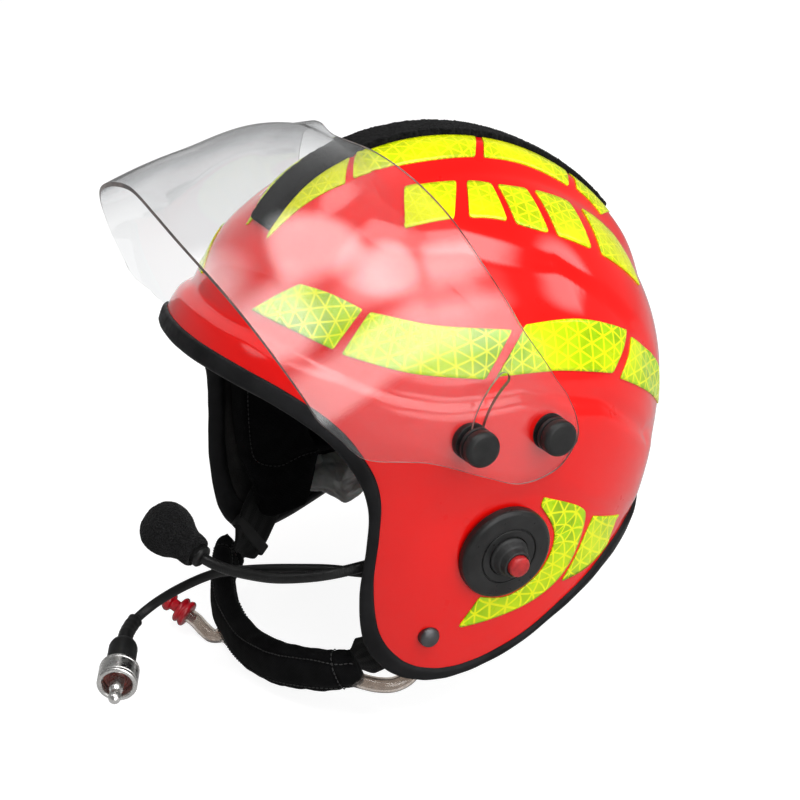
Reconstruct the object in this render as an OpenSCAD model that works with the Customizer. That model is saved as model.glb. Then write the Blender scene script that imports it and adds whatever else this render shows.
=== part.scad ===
// Marine safety helmet for boat crews: a glossy open-face shell with a clear
// visor swung up, padded lining, inflatable nape bladder, chin strap and headset.
// Shapes are drawn about the head centre, +Z up, the face towards -Y and the
// wearer's left at +X. The finished part has its origin at the crown seat,
// where the crown pad rests on the head.

/* [Shell] */
// Half width of the bare shell
shell_half_w = 116; // [112:1:122]
// Reach of the bare shell ahead of the head centre
shell_front = 128; // [124:1:132]
// Reach of the bare shell behind the head centre
shell_rear = 134; // [128:1:142]
// Height of the bare shell above the head centre
shell_top = 125; // [122:1:130]
// Wall of the composite shell, to its smooth inner face
shell_wall = 4.5; // [4:0.1:5]
// Height of the ridge along the crown
crest_h = 7; // [3:0.5:8]
// Half width of the flat top of the ridge
crest_flat_w = 15; // [10:1:20]
// Half width of the ridge at its foot
crest_foot_w = 38; // [30:1:46]

/* [Edge trim] */
// How far the rubber channel covers the shell from its rim
trim_cover = 6.5; // [4:0.5:9]
// Thickness of each lip of the rubber channel
trim_lip = 2; // [1.4:0.2:3]
// Rubber beyond the rim of the shell
trim_bead = 2.6; // [2:0.2:4]

/* [Lining] */
// Thickness of the impact foam
liner_t = 18; // [12:1:20]
// Thickness of the crown pad at its middle
crown_pad_t = 8; // [5:1:12]
// Radius of the crown pad
crown_pad_r = 33; // [26:1:36]
// Space between soft pieces and what carries them
soft_gap = 0.3; // [0.2:0.1:0.6]
// Depth of the cheek pads, from the shell's widest line to the cheek
cheek_depth = 38; // [34:1:42]

/* [Ear fittings] */
// Radius of the ear cups
ear_cup_r = 26; // [22:1:28]
// Room behind the ear cups, out to the shell's widest line
ear_back_room = 19; // [18:0.5:21]
// Depth of the ear cups
ear_cup_depth = 11; // [8:1:13]
// Radius of the speakers
speaker_r = 18; // [14:1:20]

/* [Switch pod] */
// Radius of the round pod on each side
pod_r = 25; // [22:1:27]
// Thickness of the pod disc at its rim
pod_t = 6; // [4:0.5:8]
// Downward tilt of the pods in degrees
pod_tilt = 8; // [6:1:10]
// Radius of the raised hub
hub_r = 10.5; // [9:0.5:12]
// Height of the hub above the pod disc
hub_h = 10; // [8:0.5:12]
// Radius of the talk button
button_r = 5.6; // [4:0.2:6.4]
// Travel of the talk button
button_travel = 1.5; // [1:0.1:2]

/* [Visor] */
// Space between the shell's side and the visor
visor_gap = 3.3; // [3:0.1:5]
// Height of the visor's arch above the crown ridge, measured at the middle
visor_over = 3.8; // [3.5:0.1:6]
// Thickness of the clear sheet
visor_t = 2.2; // [1.8:0.2:2.6]
// Roundness of the arch at its trailing edge, where 2 is an ellipse
visor_square = 2.4; // [2.35:0.05:2.5]
// Pivot behind the head centre
pivot_y = 15.8; // [14:0.2:18]
// Pivot above the head centre
pivot_z = 7.8; // [6:0.2:9]
// Distance from the pivot to the locking knob
lock_r = 43.2; // [38:0.2:46]
// Locking knob above the line ahead of the pivot, in degrees
lock_angle = 3.6; // [0:0.2:6]
// Sweep of the slot in degrees
slot_sweep = 47; // [44:1:50]

/* [Knobs] */
// Radius of the thumb knobs
knob_r = 9.2; // [8:0.2:10]
// Height of a knob's cap
knob_cap_h = 5.6; // [4:0.2:8]
// Radius of the knob's threaded stem
stem_r = 2.75; // [2:0.05:3]
// Clearance of the stem in the visor
stem_clear = 0.4; // [0.2:0.1:0.6]
// Radius of the threaded inserts
insert_r = 5; // [4:0.2:6]

/* [Chin strap] */
// Strap rivets ahead of the head centre
rivet_y = -43; // [-46:1:-40]
// Strap rivets below the head centre
rivet_z = -97; // [-99:1:-95]
// Radius of the rivet heads
rivet_r = 5.4; // [4:0.2:6]
// Width of the webbing
webbing_w = 25; // [20:1:28]
// Thickness of the webbing
webbing_t = 2; // [1.4:0.2:2.6]
// Height of the padded chin sleeve
sleeve_w = 27; // [22:1:32]
// Thickness of the padded chin sleeve
sleeve_t = 14; // [13:0.5:16]

/* [Inflation] */
// Outer radius of the inflation tube
tube_r = 4; // [3.4:0.1:4.2]
// Radius of the valve's flange
valve_r = 7.6; // [6:0.2:9]
// Travel of the mouthpiece
mouth_travel = 3; // [2:0.5:4]

/* [Microphone] */
// Radius of the flexible boom
boom_r = 2.9; // [2.2:0.1:3.1]
// Radius of the foam windscreen
windscreen_r = 14; // [11:1:16]
// Length of the foam windscreen
windscreen_len = 34; // [28:1:38]

/* [Cable and plug] */
// Radius of the cable
cable_r = 2.5; // [2:0.1:3]
// Radius of the shrink sleeve at the plug
shrink_r = 3.9; // [3.2:0.1:4.4]
// Radius of the plug's barrel
barrel_r = 7.4; // [6:0.2:8.4]
// Length of the plug's barrel
barrel_len = 17; // [12:1:22]
// Radius of the plug's ring at its mouth
ring_r = 10.2; // [9:0.2:12]
// Radius of the plug's pin
pin_r = 3.5; // [3:0.05:4]

/* [Reflective tape] */
// Thickness of the reflective tape
tape_t = 0.6; // [0.4:0.1:1]
// Height of the tape's underside above the drawn shell surface
tape_lift = 0.95; // [0.9:0.05:1.1]
// Half width of the hook and loop strip on the crown
strip_half_w = 12.5; // [10:0.5:15]
// Thickness of the hook and loop strip
strip_t = 3; // [2:0.25:3.5]
// Number of plain bars on each upper panel
bar_count = 5; // [3:1:7]

/* [Hidden] */

// Room for the flats of the shell's inner face.
flat_room = 0.9;
crown_drop = shell_top - shell_wall - flat_room - liner_t - crown_pad_t - 2 * soft_gap;
seam_gap = 0.15;
cut_over = 1;
cheek_face_x = shell_half_w - cheek_depth;
ear_back_x = shell_half_w - ear_back_room;
fine = 48;

// Small helpers for directions, easing and curves.
function unit(v) = v / norm(v);
function mix(a, b, t) = a + (b - a) * t;
function clamp01(t) = max(0, min(1, t));
function ease(x, a, b) = let (t = clamp01((x - a) / (b - a))) t * t * (3 - 2 * t);
function facing(phi, psi) = [sin(phi) * cos(psi), -cos(phi) * cos(psi), sin(psi)];
function slerp(a, b, t) =
  let (w = acos(max(-1, min(1, a * b))))
  w < 0.01 ? a : (sin((1 - t) * w) * a + sin(t * w) * b) / sin(w);
function mirrored(p) = [-p[0], p[1], p[2]];
function spline_point(a, b, c, d, t) =
  0.5 * (2 * b + (c - a) * t + (2 * a - 5 * b + 4 * c - d) * t * t
    + (3 * b - a - 3 * c + d) * t * t * t);
function closed_spline(p, k) =
  let (n = len(p))
  [for (i = [0 : n - 1]) for (j = [0 : k - 1])
    spline_point(p[(i + n - 1) % n], p[i], p[(i + 1) % n], p[(i + 2) % n], j / k)];
function open_spline(p, k) =
  let (n = len(p))
  concat([for (i = [0 : n - 2]) for (j = [0 : k - 1])
    spline_point(p[max(i - 1, 0)], p[i], p[i + 1], p[min(i + 2, n - 1)], j / k)], [p[n - 1]]);
// Point at a share of the way along a list of points.
function along(p, s) =
  let (u = s * (len(p) - 1), i = min(floor(u), len(p) - 2))
  spline_point(p[max(i - 1, 0)], p[i], p[i + 1], p[min(i + 2, len(p) - 1)], u - i);

// The shell's form, as a distance from the head centre in each direction.
shell_n = 2.2;
shell_p = 1.95;
skirt_front = 300;
skirt_rear = 175;
function plain_radius(d) =
  let (
    fore = d[1] < 0 ? shell_front : shell_rear,
    under = mix(skirt_front, skirt_rear, ease(d[1], 0, 0.9)),
    tall = d[2] > 0 ? shell_top : under,
    h = pow(pow(abs(d[0]) / shell_half_w, shell_n) + pow(abs(d[1]) / fore, shell_n), 1 / shell_n)
  )
  pow(pow(h, shell_p) + pow(abs(d[2]) / tall, shell_p), -1 / shell_p);
function crest_rise(d) =
  let (
    side = abs(d[0]) * plain_radius(d),
    fade = d[1] < 0 ? ease(d[2], 0.7, 0.93) : ease(d[2], 0.05, 0.5)
  )
  crest_h * (1 - ease(side, crest_flat_w, crest_foot_w)) * fade;

// Each fold runs round the side of the shell as [front angle, height angle] pairs.
// Then come its groove's depth and half width, and the step below it with its
// near and far widths, all in millimetres and degrees.
folds = [
  [[[40, 57], [59, 53], [83, 53], [98, 48], [116, 41], [129, 28], [141, 11], [150, 0]],
    1.2, 2.2, -1.8, 3, 17],
  [[[0, 27], [20, 26.5], [35, 24], [47, 21], [60, 17], [72, 15], [91, 15], [115, 7], [136, -8], [150, -12]],
    1.2, 2.2, 2.2, 4, 24],
  [[[62, -15], [69, -12], [86, -9], [98, -11], [113, -20], [130, -26], [143, -29], [160, -29]],
    0.9, 2, -1.6, 3, 16]
];
function fold_height(line, phi) = lookup(phi, line);
function fold_shift(f, phi, psi) =
  let (
    line = f[0],
    s = fold_height(line, phi) - psi,
    first = line[0][0],
    last = line[len(line) - 1][0],
    fade_in = first == 0 ? 1 : ease(phi, first, first + 12),
    fade_out = 1 - ease(phi, last - 14, last),
    groove = -f[1] * exp(-(s / f[2]) * (s / f[2])),
    stepped = f[3] * ease(s, 0, f[4]) * (1 - ease(s, f[4], f[5]))
  )
  (groove + stepped) * fade_in * fade_out;
brow_flare = 3;
brow_dip = 2.4;
function brow_shift(phi, psi) =
  (1 - ease(phi, 30, 56)) * (brow_flare * (1 - ease(psi, 15, 24))
    - brow_dip * exp(-((psi - 30) / 6) * ((psi - 30) / 6)));
function shell_radius(d) =
  let (
    phi = atan2(abs(d[0]), -d[1]),
    psi = asin(max(-1, min(1, d[2])))
  )
  plain_radius(d) + crest_rise(d) + brow_shift(phi, psi)
    + fold_shift(folds[0], phi, psi) + fold_shift(folds[1], phi, psi) + fold_shift(folds[2], phi, psi);
function inner_radius(d) = plain_radius(d) - shell_wall;
// Half width of the shell's smooth inner face, less a depth, at a place in side view.
function wall_step(p, depth) =
  let (d = unit(p))
  [p[0] + (inner_radius(d) - depth - norm(p)) * norm(p) / p[0], p[1], p[2]];
function wall_x(y, z, depth = 0) =
  wall_step(wall_step(wall_step(wall_step([95, y, z], depth), depth), depth), depth)[0];

// Left half of the rim from the brow, round the cheek, to the nape.
rim_left = [
  [0, 16.5], [20, 15.5], [34, 12.5], [45, 6.5], [51.5, -2], [54, -10], [53.5, -19],
  [51.7, -30], [52.3, -39.5], [57, -45], [65, -47.8], [76, -48.3], [90, -46.3],
  [108, -40.5], [126, -34.7], [150, -31], [180, -30]
];
// Left half of the foam liner's edge, which stops above the ears.
liner_left = [
  [0, 22], [20, 21], [34, 18], [43, 13], [50, 6.5], [56, 1], [62, -3], [72, -4.5],
  [92, -4.5], [108, -6], [126, -11], [150, -15], [180, -15]
];
function whole_edge(half) =
  let (n = len(half), f = [for (a = half) facing(a[0], a[1])])
  concat(f, [for (i = [n - 2 : -1 : 1]) mirrored(f[i])]);
function edge_dirs(half, k) = [for (v = closed_spline(whole_edge(half), k)) unit(v)];
rim_dirs = edge_dirs(rim_left, 2);
liner_dirs = edge_dirs(liner_left, 2);
shell_pole = facing(180, 45);

// A closed solid through rings of points. The ends are closed point by point,
// or with a fan to a given tip. Its faces are turned round where they point inwards.
function reach(pts, faces) = [for (f = faces) pts[f[0]] * cross(pts[f[1]], pts[f[2]])];
function total(v) = v * [for (x = v) 1];
module skin(rings, tips = [], loop = false) {
  n = len(rings[0]);
  m = len(rings);
  pts = concat([for (r = rings) each r], tips);
  sides = [for (i = [0 : m - (loop ? 1 : 2)]) for (j = [0 : n - 1])
    let (a = i * n + j, b = i * n + (j + 1) % n,
      c = ((i + 1) % m) * n + j, d = ((i + 1) % m) * n + (j + 1) % n)
    each [[a, c, d], [a, d, b]]];
  fans = len(tips) == 0 ? [] : [for (j = [0 : n - 1])
    each [[m * n, j, (j + 1) % n], [m * n + 1, (m - 1) * n + (j + 1) % n, (m - 1) * n + j]]];
  ladders = loop || len(tips) > 0 ? [] : [for (j = [0 : ceil(n / 2) - 2])
    let (a = j, b = j + 1, c = n - 2 - j, d = n - 1 - j, e = (m - 1) * n)
    each (b == c
      ? [[a, b, d], [e + a, e + d, e + b]]
      : [[a, b, c], [a, c, d], [e + a, e + c, e + b], [e + a, e + d, e + c]])];
  faces = concat(sides, fans, ladders);
  polyhedron(pts, total(reach(pts, faces)) > 0 ? [for (f = faces) [f[2], f[1], f[0]]] : faces);
}

// A thin patch on the shell between two lists of guide points, k steps each.
module patch(upper, lower, k, nv, lift, t) {
  m = len(upper) - 1;
  skin([for (i = [0 : m * k])
    let (g = min(floor(i / k), m - 1), f = i / k - g,
      a = mix(upper[g], upper[g + 1], f), b = mix(lower[g], lower[g + 1], f),
      d = [for (j = [0 : nv]) unit(mix(a, b, j / nv))])
    concat(
      [for (j = [0 : nv]) d[j] * (shell_radius(d[j]) + lift + t)],
      [for (j = [nv : -1 : 0]) d[j] * (shell_radius(d[j]) + lift)])]);
}
module both_sides() {
  children();
  mirror([1, 0, 0]) children();
}
module on_side(side) {
  if (side > 0) children();
  else mirror([1, 0, 0]) children();
}
// Draws along +X from a place in side view.
module along_x(x, y, z) {
  translate([x, y, z]) rotate([0, 90, 0]) children();
}
module crown_frame() {
  translate([0, 0, -crown_drop]) children();
}

// Places that several pieces share.
visor_half_w = shell_half_w + visor_gap + visor_t;
visor_rise = shell_top + crest_h + visor_over - pivot_z;
function lock_yz() = [pivot_y - lock_r * cos(lock_angle), pivot_z + lock_r * sin(lock_angle)];
knob_yz = [[pivot_y, pivot_z], lock_yz()];
washer_x = shell_half_w - 2.5;
washer_r = knob_r + 0.2;
visor_in_x = visor_half_w - visor_t;
// The visor's panels curve inwards as they swing over the washers.
swing_room = 1.5;
insert_x = washer_x - shell_wall + 1.8;
pod_dir = facing(87, -25.7);
pod_place = pod_dir * (shell_radius(pod_dir) - 2.2);
pod_stem_r = 7.5;
rivet_seat_x = wall_x(rivet_y, rivet_z) + 3.6;

module pod_frame() {
  translate(pod_place) rotate([0, 90 + pod_tilt, 0]) children();
}

outer_rows = [0.07, 0.14, 0.21, 0.27, 0.33, 0.385, 0.435, 0.48, 0.52, 0.56, 0.6,
  0.635, 0.67, 0.705, 0.74, 0.77, 0.8, 0.83, 0.86, 0.89, 0.92, 0.96, 1];
inner_rows = [0.08, 0.16, 0.24, 0.32, 0.4, 0.48, 0.56, 0.64, 0.72, 0.8, 0.88, 0.94, 1];
// Place inside the rim that the trim's lip reaches.
function lip_dir(e) =
  let (back = trim_cover / (plain_radius(e) * PI / 180), turn = acos(shell_pole * e))
  slerp(shell_pole, e, 1 - back / turn);
lip_dirs = [for (e = rim_dirs) lip_dir(e)];
module shell() {
  function outer_ring(dirs) = [for (d = dirs) d * shell_radius(d)];
  function inner_ring(dirs) = [for (d = dirs) d * inner_radius(d)];
  function row_dirs(v) = [for (e = lip_dirs) slerp(shell_pole, e, v)];
  outer = concat([for (v = outer_rows) outer_ring(row_dirs(v))], [outer_ring(rim_dirs)]);
  inner = concat([inner_ring(rim_dirs)],
    [for (k = [len(inner_rows) - 1 : -1 : 0]) inner_ring(row_dirs(inner_rows[k]))]);
  color("red") difference() {
    skin(concat(outer, inner),
      [shell_pole * shell_radius(shell_pole), shell_pole * inner_radius(shell_pole)]);
    both_sides() {
      for (p = knob_yz) {
        along_x(washer_x, p[0], p[1]) cylinder(r = washer_r + seam_gap, h = 20, $fn = fine);
        along_x(insert_x - 12, p[0], p[1]) cylinder(r = insert_r + 0.05, h = 30, $fn = fine);
      }
      along_x(rivet_seat_x, rivet_y, rivet_z) cylinder(r = rivet_r + seam_gap, h = 20, $fn = fine);
      along_x(rivet_seat_x - 20, rivet_y, rivet_z) cylinder(r = 2.5, h = 30, $fn = fine);
      pod_frame() {
        cylinder(r = pod_r + seam_gap, h = 20, $fn = fine);
        translate([0, 0, -20]) cylinder(r = pod_stem_r + seam_gap, h = 30, $fn = fine);
      }
    }
  }
}

module edge_trim() {
  function rim_ring(e) =
    let (
      near = lip_dir(e),
      a1 = e * shell_radius(e),
      a0 = near * shell_radius(near),
      b1 = e * inner_radius(e),
      b0 = near * inner_radius(near),
      out = unit(a1 - a0),
      n = unit(a1 - b1)
    )
    [a0 + n * soft_gap, a0 + n * (soft_gap + 0.7 * trim_lip),
      mix(a0, a1, 0.2) + n * (soft_gap + trim_lip),
      a1 + n * (soft_gap + trim_lip) + out * 0.3 * trim_bead, a1 + n * 0.4 * trim_lip + out * trim_bead,
      b1 - n * 0.4 * trim_lip + out * trim_bead, b1 - n * (soft_gap + trim_lip) + out * 0.3 * trim_bead,
      b0 - n * (soft_gap + trim_lip), b0 - n * soft_gap,
      b1 - n * soft_gap + out * soft_gap, a1 + n * soft_gap + out * soft_gap];
  color("#202020") skin([for (e = rim_dirs) rim_ring(e)], loop = true);
}

// Lining.
module foam_liner() {
  function row_at(v, depth) =
    [for (e = liner_dirs) let (d = slerp(shell_pole, e, v)) d * (inner_radius(d) - depth)];
  out_gap = soft_gap + flat_room;
  in_gap = out_gap + liner_t;
  outer = [for (v = inner_rows) row_at(v, out_gap)];
  inner = [for (k = [len(inner_rows) - 1 : -1 : 0]) row_at(inner_rows[k], in_gap)];
  color("#303030") difference() {
    skin(concat(outer, inner), [shell_pole * (inner_radius(shell_pole) - out_gap),
      shell_pole * (inner_radius(shell_pole) - in_gap)]);
    both_sides() for (p = knob_yz)
      along_x(insert_x - 8, p[0], p[1]) cylinder(r = insert_r + 1.5, h = 20, $fn = fine);
  }
}

// The crown pad's flat underside is the seat that rests on the head.
module crown_pad() {
  function pad_top(x, y) =
    let (
      d = unit([x, y, crown_drop + crown_pad_t / 2]),
      r = inner_radius(d) - flat_room - liner_t - 3 * soft_gap
    )
    min(crown_drop + crown_pad_t, r * d[2] - 1);
  function flat_ring(r) = [for (a = [0 : 15 : 345]) [r * cos(a), r * sin(a), crown_drop]];
  function pad_ring(r) = [for (p = flat_ring(r)) [p[0], p[1], pad_top(p[0], p[1])]];
  color("#262626") skin([
    pad_ring(crown_pad_r * 0.35), pad_ring(crown_pad_r * 0.7), pad_ring(crown_pad_r * 0.95),
    [for (p = pad_ring(crown_pad_r)) [p[0], p[1], crown_drop + 1]], flat_ring(crown_pad_r - 0.6)],
    [[0, 0, crown_drop + crown_pad_t], [0, 0, crown_drop]]);
}

// The brow pad lies behind the brow, below the foam.
module brow_pad() {
  brow_back = flat_room + liner_t + 2 * soft_gap + 0.7;
  function pad_section(phi) =
    let (top = 38 - abs(phi) * 0.16,
      low = lookup(abs(phi), [for (a = liner_left) [a[0], a[1]]]) + 2.5,
      depth = 7 * (1 - 0.7 * ease(abs(phi), 30, 46)))
    [for (q = [[0, 0], [0.4, 0], [0.8, 0], [1, 0.25], [1, 0.75], [0.8, 1], [0.4, 1], [0, 0.85]])
      let (d = facing(phi, mix(top, low, q[0]))) d * (inner_radius(d) - brow_back - q[1] * depth)];
  color("#262626") skin([for (phi = [-46 : 4 : 46]) pad_section(phi)]);
}

// Cheek pads fill the space between the ears, the cheeks and the shell.
cheek_outline = [[-63, -22], [-63, -50], [-60, -72], [-44, -80], [-26, -76], [4, -76], [26, -70],
  [34, -50], [34, -28], [26, -17], [0, -15], [-40, -15], [-58, -16]];
ear_yz = [4, -44];
module cheek_pad(side) {
  n = len(cheek_outline);
  mid = [-14, -46];
  back = soft_gap + flat_room;
  function ring_at(k, depth, x) = [for (p = cheek_outline)
    let (y = mix(mid[0], p[0], k), z = mix(mid[1], p[1], k))
    [x > 0 ? x : wall_x(y, z, depth), y, z]];
  color("#1c1c1c") on_side(side) difference() {
    skin([ring_at(0.5, 0, cheek_face_x), ring_at(0.9, 0, cheek_face_x + 0.6),
      ring_at(1, 0, cheek_face_x + 4),
      ring_at(1, back + 2, 0), ring_at(0.97, back, 0), ring_at(0.7, back, 0), ring_at(0.4, back, 0)],
      [[cheek_face_x, mid[0], mid[1]], [wall_x(mid[0], mid[1], back), mid[0], mid[1]]]);
    along_x(cheek_face_x - 5, ear_yz[0], ear_yz[1])
      cylinder(r = ear_cup_r + soft_gap, h = ear_back_x - cheek_face_x + 5 + soft_gap, $fn = fine);
    along_x(cheek_face_x - 5, pod_place[1], pod_place[2])
      cylinder(r = pod_stem_r + 7.5, h = 60, $fn = fine);
    if (side > 0) translate([cheek_face_x - 5, -75, -76]) cube([40, 41, 34]);
  }
}

module ear_frame(side) {
  on_side(side) along_x(ear_back_x - ear_cup_depth, ear_yz[0], ear_yz[1]) children();
}
module ear_cup(side) {
  color("#2a2a2a") ear_frame(side) difference() {
    cylinder(r = ear_cup_r, h = ear_cup_depth, $fn = fine);
    translate([0, 0, -cut_over]) cylinder(r = ear_cup_r - 3, h = ear_cup_depth - 2 + cut_over, $fn = fine);
  }
}
module speaker(side) {
  color("#3a3a3a") ear_frame(side) translate([0, 0, 1])
    cylinder(r = speaker_r, h = ear_cup_depth - 3, $fn = fine);
}
module ear_cushion(side) {
  cushion_t = ear_back_x - ear_cup_depth - cheek_face_x + 1.5;
  color("#181818") ear_frame(side) translate([0, 0, -cushion_t / 2])
    rotate_extrude($fn = fine)
      translate([ear_cup_r - 6, 0]) scale([5.6, cushion_t / 2]) circle(r = 1, $fn = 24);
}

// Sweeps along a curved line, with frames carried on from point to point.
function tangents(p) =
  let (n = len(p))
  [for (i = [0 : n - 1]) unit(p[min(i + 1, n - 1)] - p[max(i - 1, 0)])];
function carried(t, u, i = 0) =
  i == len(t) ? [] : let (v = unit(u - (u * t[i]) * t[i])) concat([v], carried(t, v, i + 1));
function round_rings(p, r, n, u) =
  let (t = tangents(p), a = carried(t, u))
  [for (i = [0 : len(p) - 1]) let (b = cross(t[i], a[i]))
    [for (k = [0 : n - 1]) p[i] + r * (cos(360 * k / n) * a[i] + sin(360 * k / n) * b)]];
function backwards(list) = [for (i = [len(list) - 1 : -1 : 0]) list[i]];
module round_bar(p, r, n, u) {
  skin(round_rings(p, r, n, u));
}
module hollow_tube(p, r, bore, n, u) {
  skin(concat(backwards(round_rings(p, r, n, u)), round_rings(p, bore, n, u)), loop = true);
}
// A band with a rounded section, its width along w at each point.
function band_rings(p, w, width, thick, shift = 0) =
  let (t = tangents(p))
  [for (i = [0 : len(p) - 1])
    let (a = unit(w[i] - (w[i] * t[i]) * t[i]), b = cross(t[i], a))
    [for (q = [[-1, -0.5], [-0.8, -1], [0, -1], [0.8, -1], [1, -0.5],
        [1, 0.5], [0.8, 1], [0, 1], [-0.8, 1], [-1, 0.5]])
      p[i] + b * shift + a * q[0] * width / 2 + b * q[1] * thick / 2]];

// Horizontal place on the shell's inner face at a bearing and a height.
function wall_turn(phi, z, h) =
  let (r = inner_radius(unit([sin(phi) * h, -cos(phi) * h, z]))) sqrt(r * r - z * z);
function wall_at(phi, z, depth) =
  let (near = wall_turn(phi, z, wall_turn(phi, z, 100)),
    h = wall_turn(phi, z, wall_turn(phi, z, near)) - depth)
  [sin(phi) * h, -cos(phi) * h, z];

// The bladder lies round the nape behind the trim's inner lip, as
// [bearing, middle height, half height] stations.
bladder_stations = [
  [84.5, -92, 7], [86, -91, 11], [90, -90.5, 13], [97, -89, 13], [104, -84, 12.5], [110, -75, 12.5],
  [117, -66, 13.5], [128, -57, 14], [145, -51, 14], [165, -49, 14], [195, -49, 14], [215, -51, 14],
  [232, -57, 14], [243, -66, 13.5], [250, -75, 12.5], [256, -84, 12.5], [263, -90, 13], [271, -92, 14],
  [277, -93.5, 13], [281, -95, 10], [283, -96, 6]
];
bladder_t = 15;
module nape_bladder() {
  depth0 = trim_lip + seam_gap + 0.6;
  color("#8a8f90") skin([for (s = bladder_stations)
    let (k = min(1, s[2] / 12))
    [for (q = [[1, 0.35], [0.8, 0.75], [0.4, 1], [-0.4, 1], [-0.8, 0.75], [-1, 0.35],
        [-1, 0.1], [-0.8, 0], [0, 0], [0.8, 0], [1, 0.1]])
      wall_at(s[0], s[1] + q[0] * s[2], depth0 + q[1] * bladder_t * k)]]);
}

// Switch pod with its hub, button, spring and switch on the wearer's left.
module switch_pod() {
  color("#161616") pod_frame() difference() {
    rotate_extrude($fn = 64) polygon([[0, 0.2], [pod_r, 0.2], [pod_r, pod_t - 2], [pod_r - 0.7, pod_t - 0.6],
      [pod_r - 2.4, pod_t], [pod_r - 9, pod_t + 0.6], [0, pod_t + 0.6]]);
    translate([0, 0, -cut_over]) cylinder(r = hub_r - 2, h = 20, $fn = fine);
    translate([0, 0, pod_t - 0.6]) cylinder(r = hub_r + 0.3, h = 20, $fn = fine);
    translate([0, 0, pod_t - 0.4]) difference() {
      cylinder(r = pod_r - 9.6, h = 3, $fn = fine);
      translate([0, 0, -cut_over]) cylinder(r = pod_r - 10.4, h = 6, $fn = fine);
    }
  }
}
module pod_stem() {
  translate([0, 0, -13]) cylinder(r = pod_stem_r, h = pod_t + 13 - 0.6, $fn = fine);
}
module hub_dome() {
  z0 = pod_t - 0.6;
  rotate_extrude($fn = fine) polygon([[0, z0 - 0.01], [hub_r - 2.2, z0 - 0.01],
    [hub_r - 2.2, z0 + 0.03], [hub_r, z0 + 0.03], [hub_r, z0 + 2], [hub_r - 1, z0 + 2.8],
    [hub_r - 2, z0 + hub_h * 0.6], [hub_r - 2.6, z0 + hub_h * 0.6 + 0.4],
    [button_r + 1.6, z0 + hub_h], [button_r + 0.9, z0 + hub_h + 0.2], [0, z0 + hub_h + 0.2]]);
}
button_seat = 2;
module switch_hub() {
  color("#1a1a1a") pod_frame() difference() {
    union() {
      pod_stem();
      hub_dome();
    }
    translate([0, 0, -17]) cylinder(r = button_r + 0.2, h = 40, $fn = fine);
  }
}
module talk_button() {
  z0 = pod_t - 0.6 + hub_h + 0.2;
  color("#b01820") pod_frame() rotate_extrude($fn = fine) polygon([[0, z0 - 9], [button_r, z0 - 9],
    [button_r, z0 + button_travel + 0.6], [button_r - 0.8, z0 + button_travel + 1.4],
    [0, z0 + button_travel + 1.7]]);
}
module button_spring() {
  z0 = pod_t - 0.6 + hub_h + 0.2 - 9 - button_travel - 0.3;
  color("silver") pod_frame() translate([0, 0, z0 - 3]) difference() {
    cylinder(r = button_r - 0.8, h = 3, $fn = fine);
    translate([0, 0, -cut_over]) cylinder(r = button_r - 1.8, h = 6, $fn = fine);
  }
}
module switch_body() {
  z0 = pod_t - 0.6 + hub_h + 0.2 - 9 - button_travel - 3.3;
  color("#303438") pod_frame() translate([0, 0, -12.5])
    cylinder(r = button_r - 0.2, h = z0 + 12.5, $fn = fine);
}
module pod_nut() {
  color("#3c3c3c") pod_frame() translate([0, 0, -8.2]) difference() {
    cylinder(r = pod_stem_r + 5, h = 3.4, $fn = 6);
    translate([0, 0, -cut_over]) cylinder(r = pod_stem_r + 0.1, h = 8, $fn = fine);
  }
}
module blank_pod() {
  color("#161616") mirror([1, 0, 0]) pod_frame() {
    rotate_extrude($fn = 64) polygon([[0, 0.2], [pod_r, 0.2], [pod_r, pod_t - 2], [pod_r - 0.7, pod_t - 0.6],
      [pod_r - 2.4, pod_t], [pod_r - 9, pod_t + 0.6], [hub_r + 3, pod_t + 0.6], [hub_r, pod_t + 3],
      [hub_r - 2, pod_t + 4], [0, pod_t + 4]]);
    translate([0, 0, -12]) cylinder(r = pod_stem_r, h = 13, $fn = fine);
  }
}

// Rivets that carry the chin strap.
strap_x = wall_x(rivet_y - 18, rivet_z) - trim_lip - seam_gap - 1.4 - webbing_t / 2;
module strap_rivets() {
  color("#2c2c2c") both_sides() along_x(rivet_seat_x, rivet_y, rivet_z) {
    rotate_extrude($fn = fine) polygon([[0, 0.05], [rivet_r, 0.05], [rivet_r, 2.6], [rivet_r - 1, 3.8],
      [rivet_r - 3, 4.6], [0, 4.9]]);
    translate([0, 0, strap_x - 5 - rivet_seat_x])
      cylinder(r = 2.4, h = rivet_seat_x + 5 - strap_x + 1, $fn = fine);
  }
}
module rivet_washers() {
  color("#505050") both_sides() along_x(strap_x - webbing_t / 2 - 3, rivet_y, rivet_z) difference() {
    cylinder(r = rivet_r + 0.8, h = 1.7, $fn = fine);
    translate([0, 0, -cut_over]) cylinder(r = 2.45, h = 6, $fn = fine);
  }
}

// Chin strap, as a centre line from the left rivet to the chin.
strap_half = [
  [strap_x, rivet_y + 6, rivet_z + 7], [strap_x, rivet_y, rivet_z],
  [strap_x - 2.5, rivet_y - 7.5, rivet_z - 9],
  [strap_x - 7.5, -61, -115], [strap_x * 0.8555, -72, -120.5], [strap_x * 0.743, -81, -124.5],
  [strap_x * 0.563, -89, -129], [strap_x * 0.338, -95.5, -133.5], [0, -98, -137]
];
strap_right = [for (i = [len(strap_half) - 2 : -1 : 0]) mirrored(strap_half[i])];
strap_full = open_spline(concat(strap_half, strap_right), 3);
function strap_width_dir(p) =
  let (k = ease(abs(p[0]), 60, strap_x)) unit([0, 0.75 * k, -1 + 0.35 * k]);
sleeve_first = 11;
sleeve_line = [for (i = [sleeve_first : len(strap_full) - 1 - sleeve_first]) strap_full[i]];
webbing_line = [for (i = [0 : sleeve_first + 2]) strap_full[i]];
web_shift = 1.2 + webbing_t / 2 - sleeve_t / 2;
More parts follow.
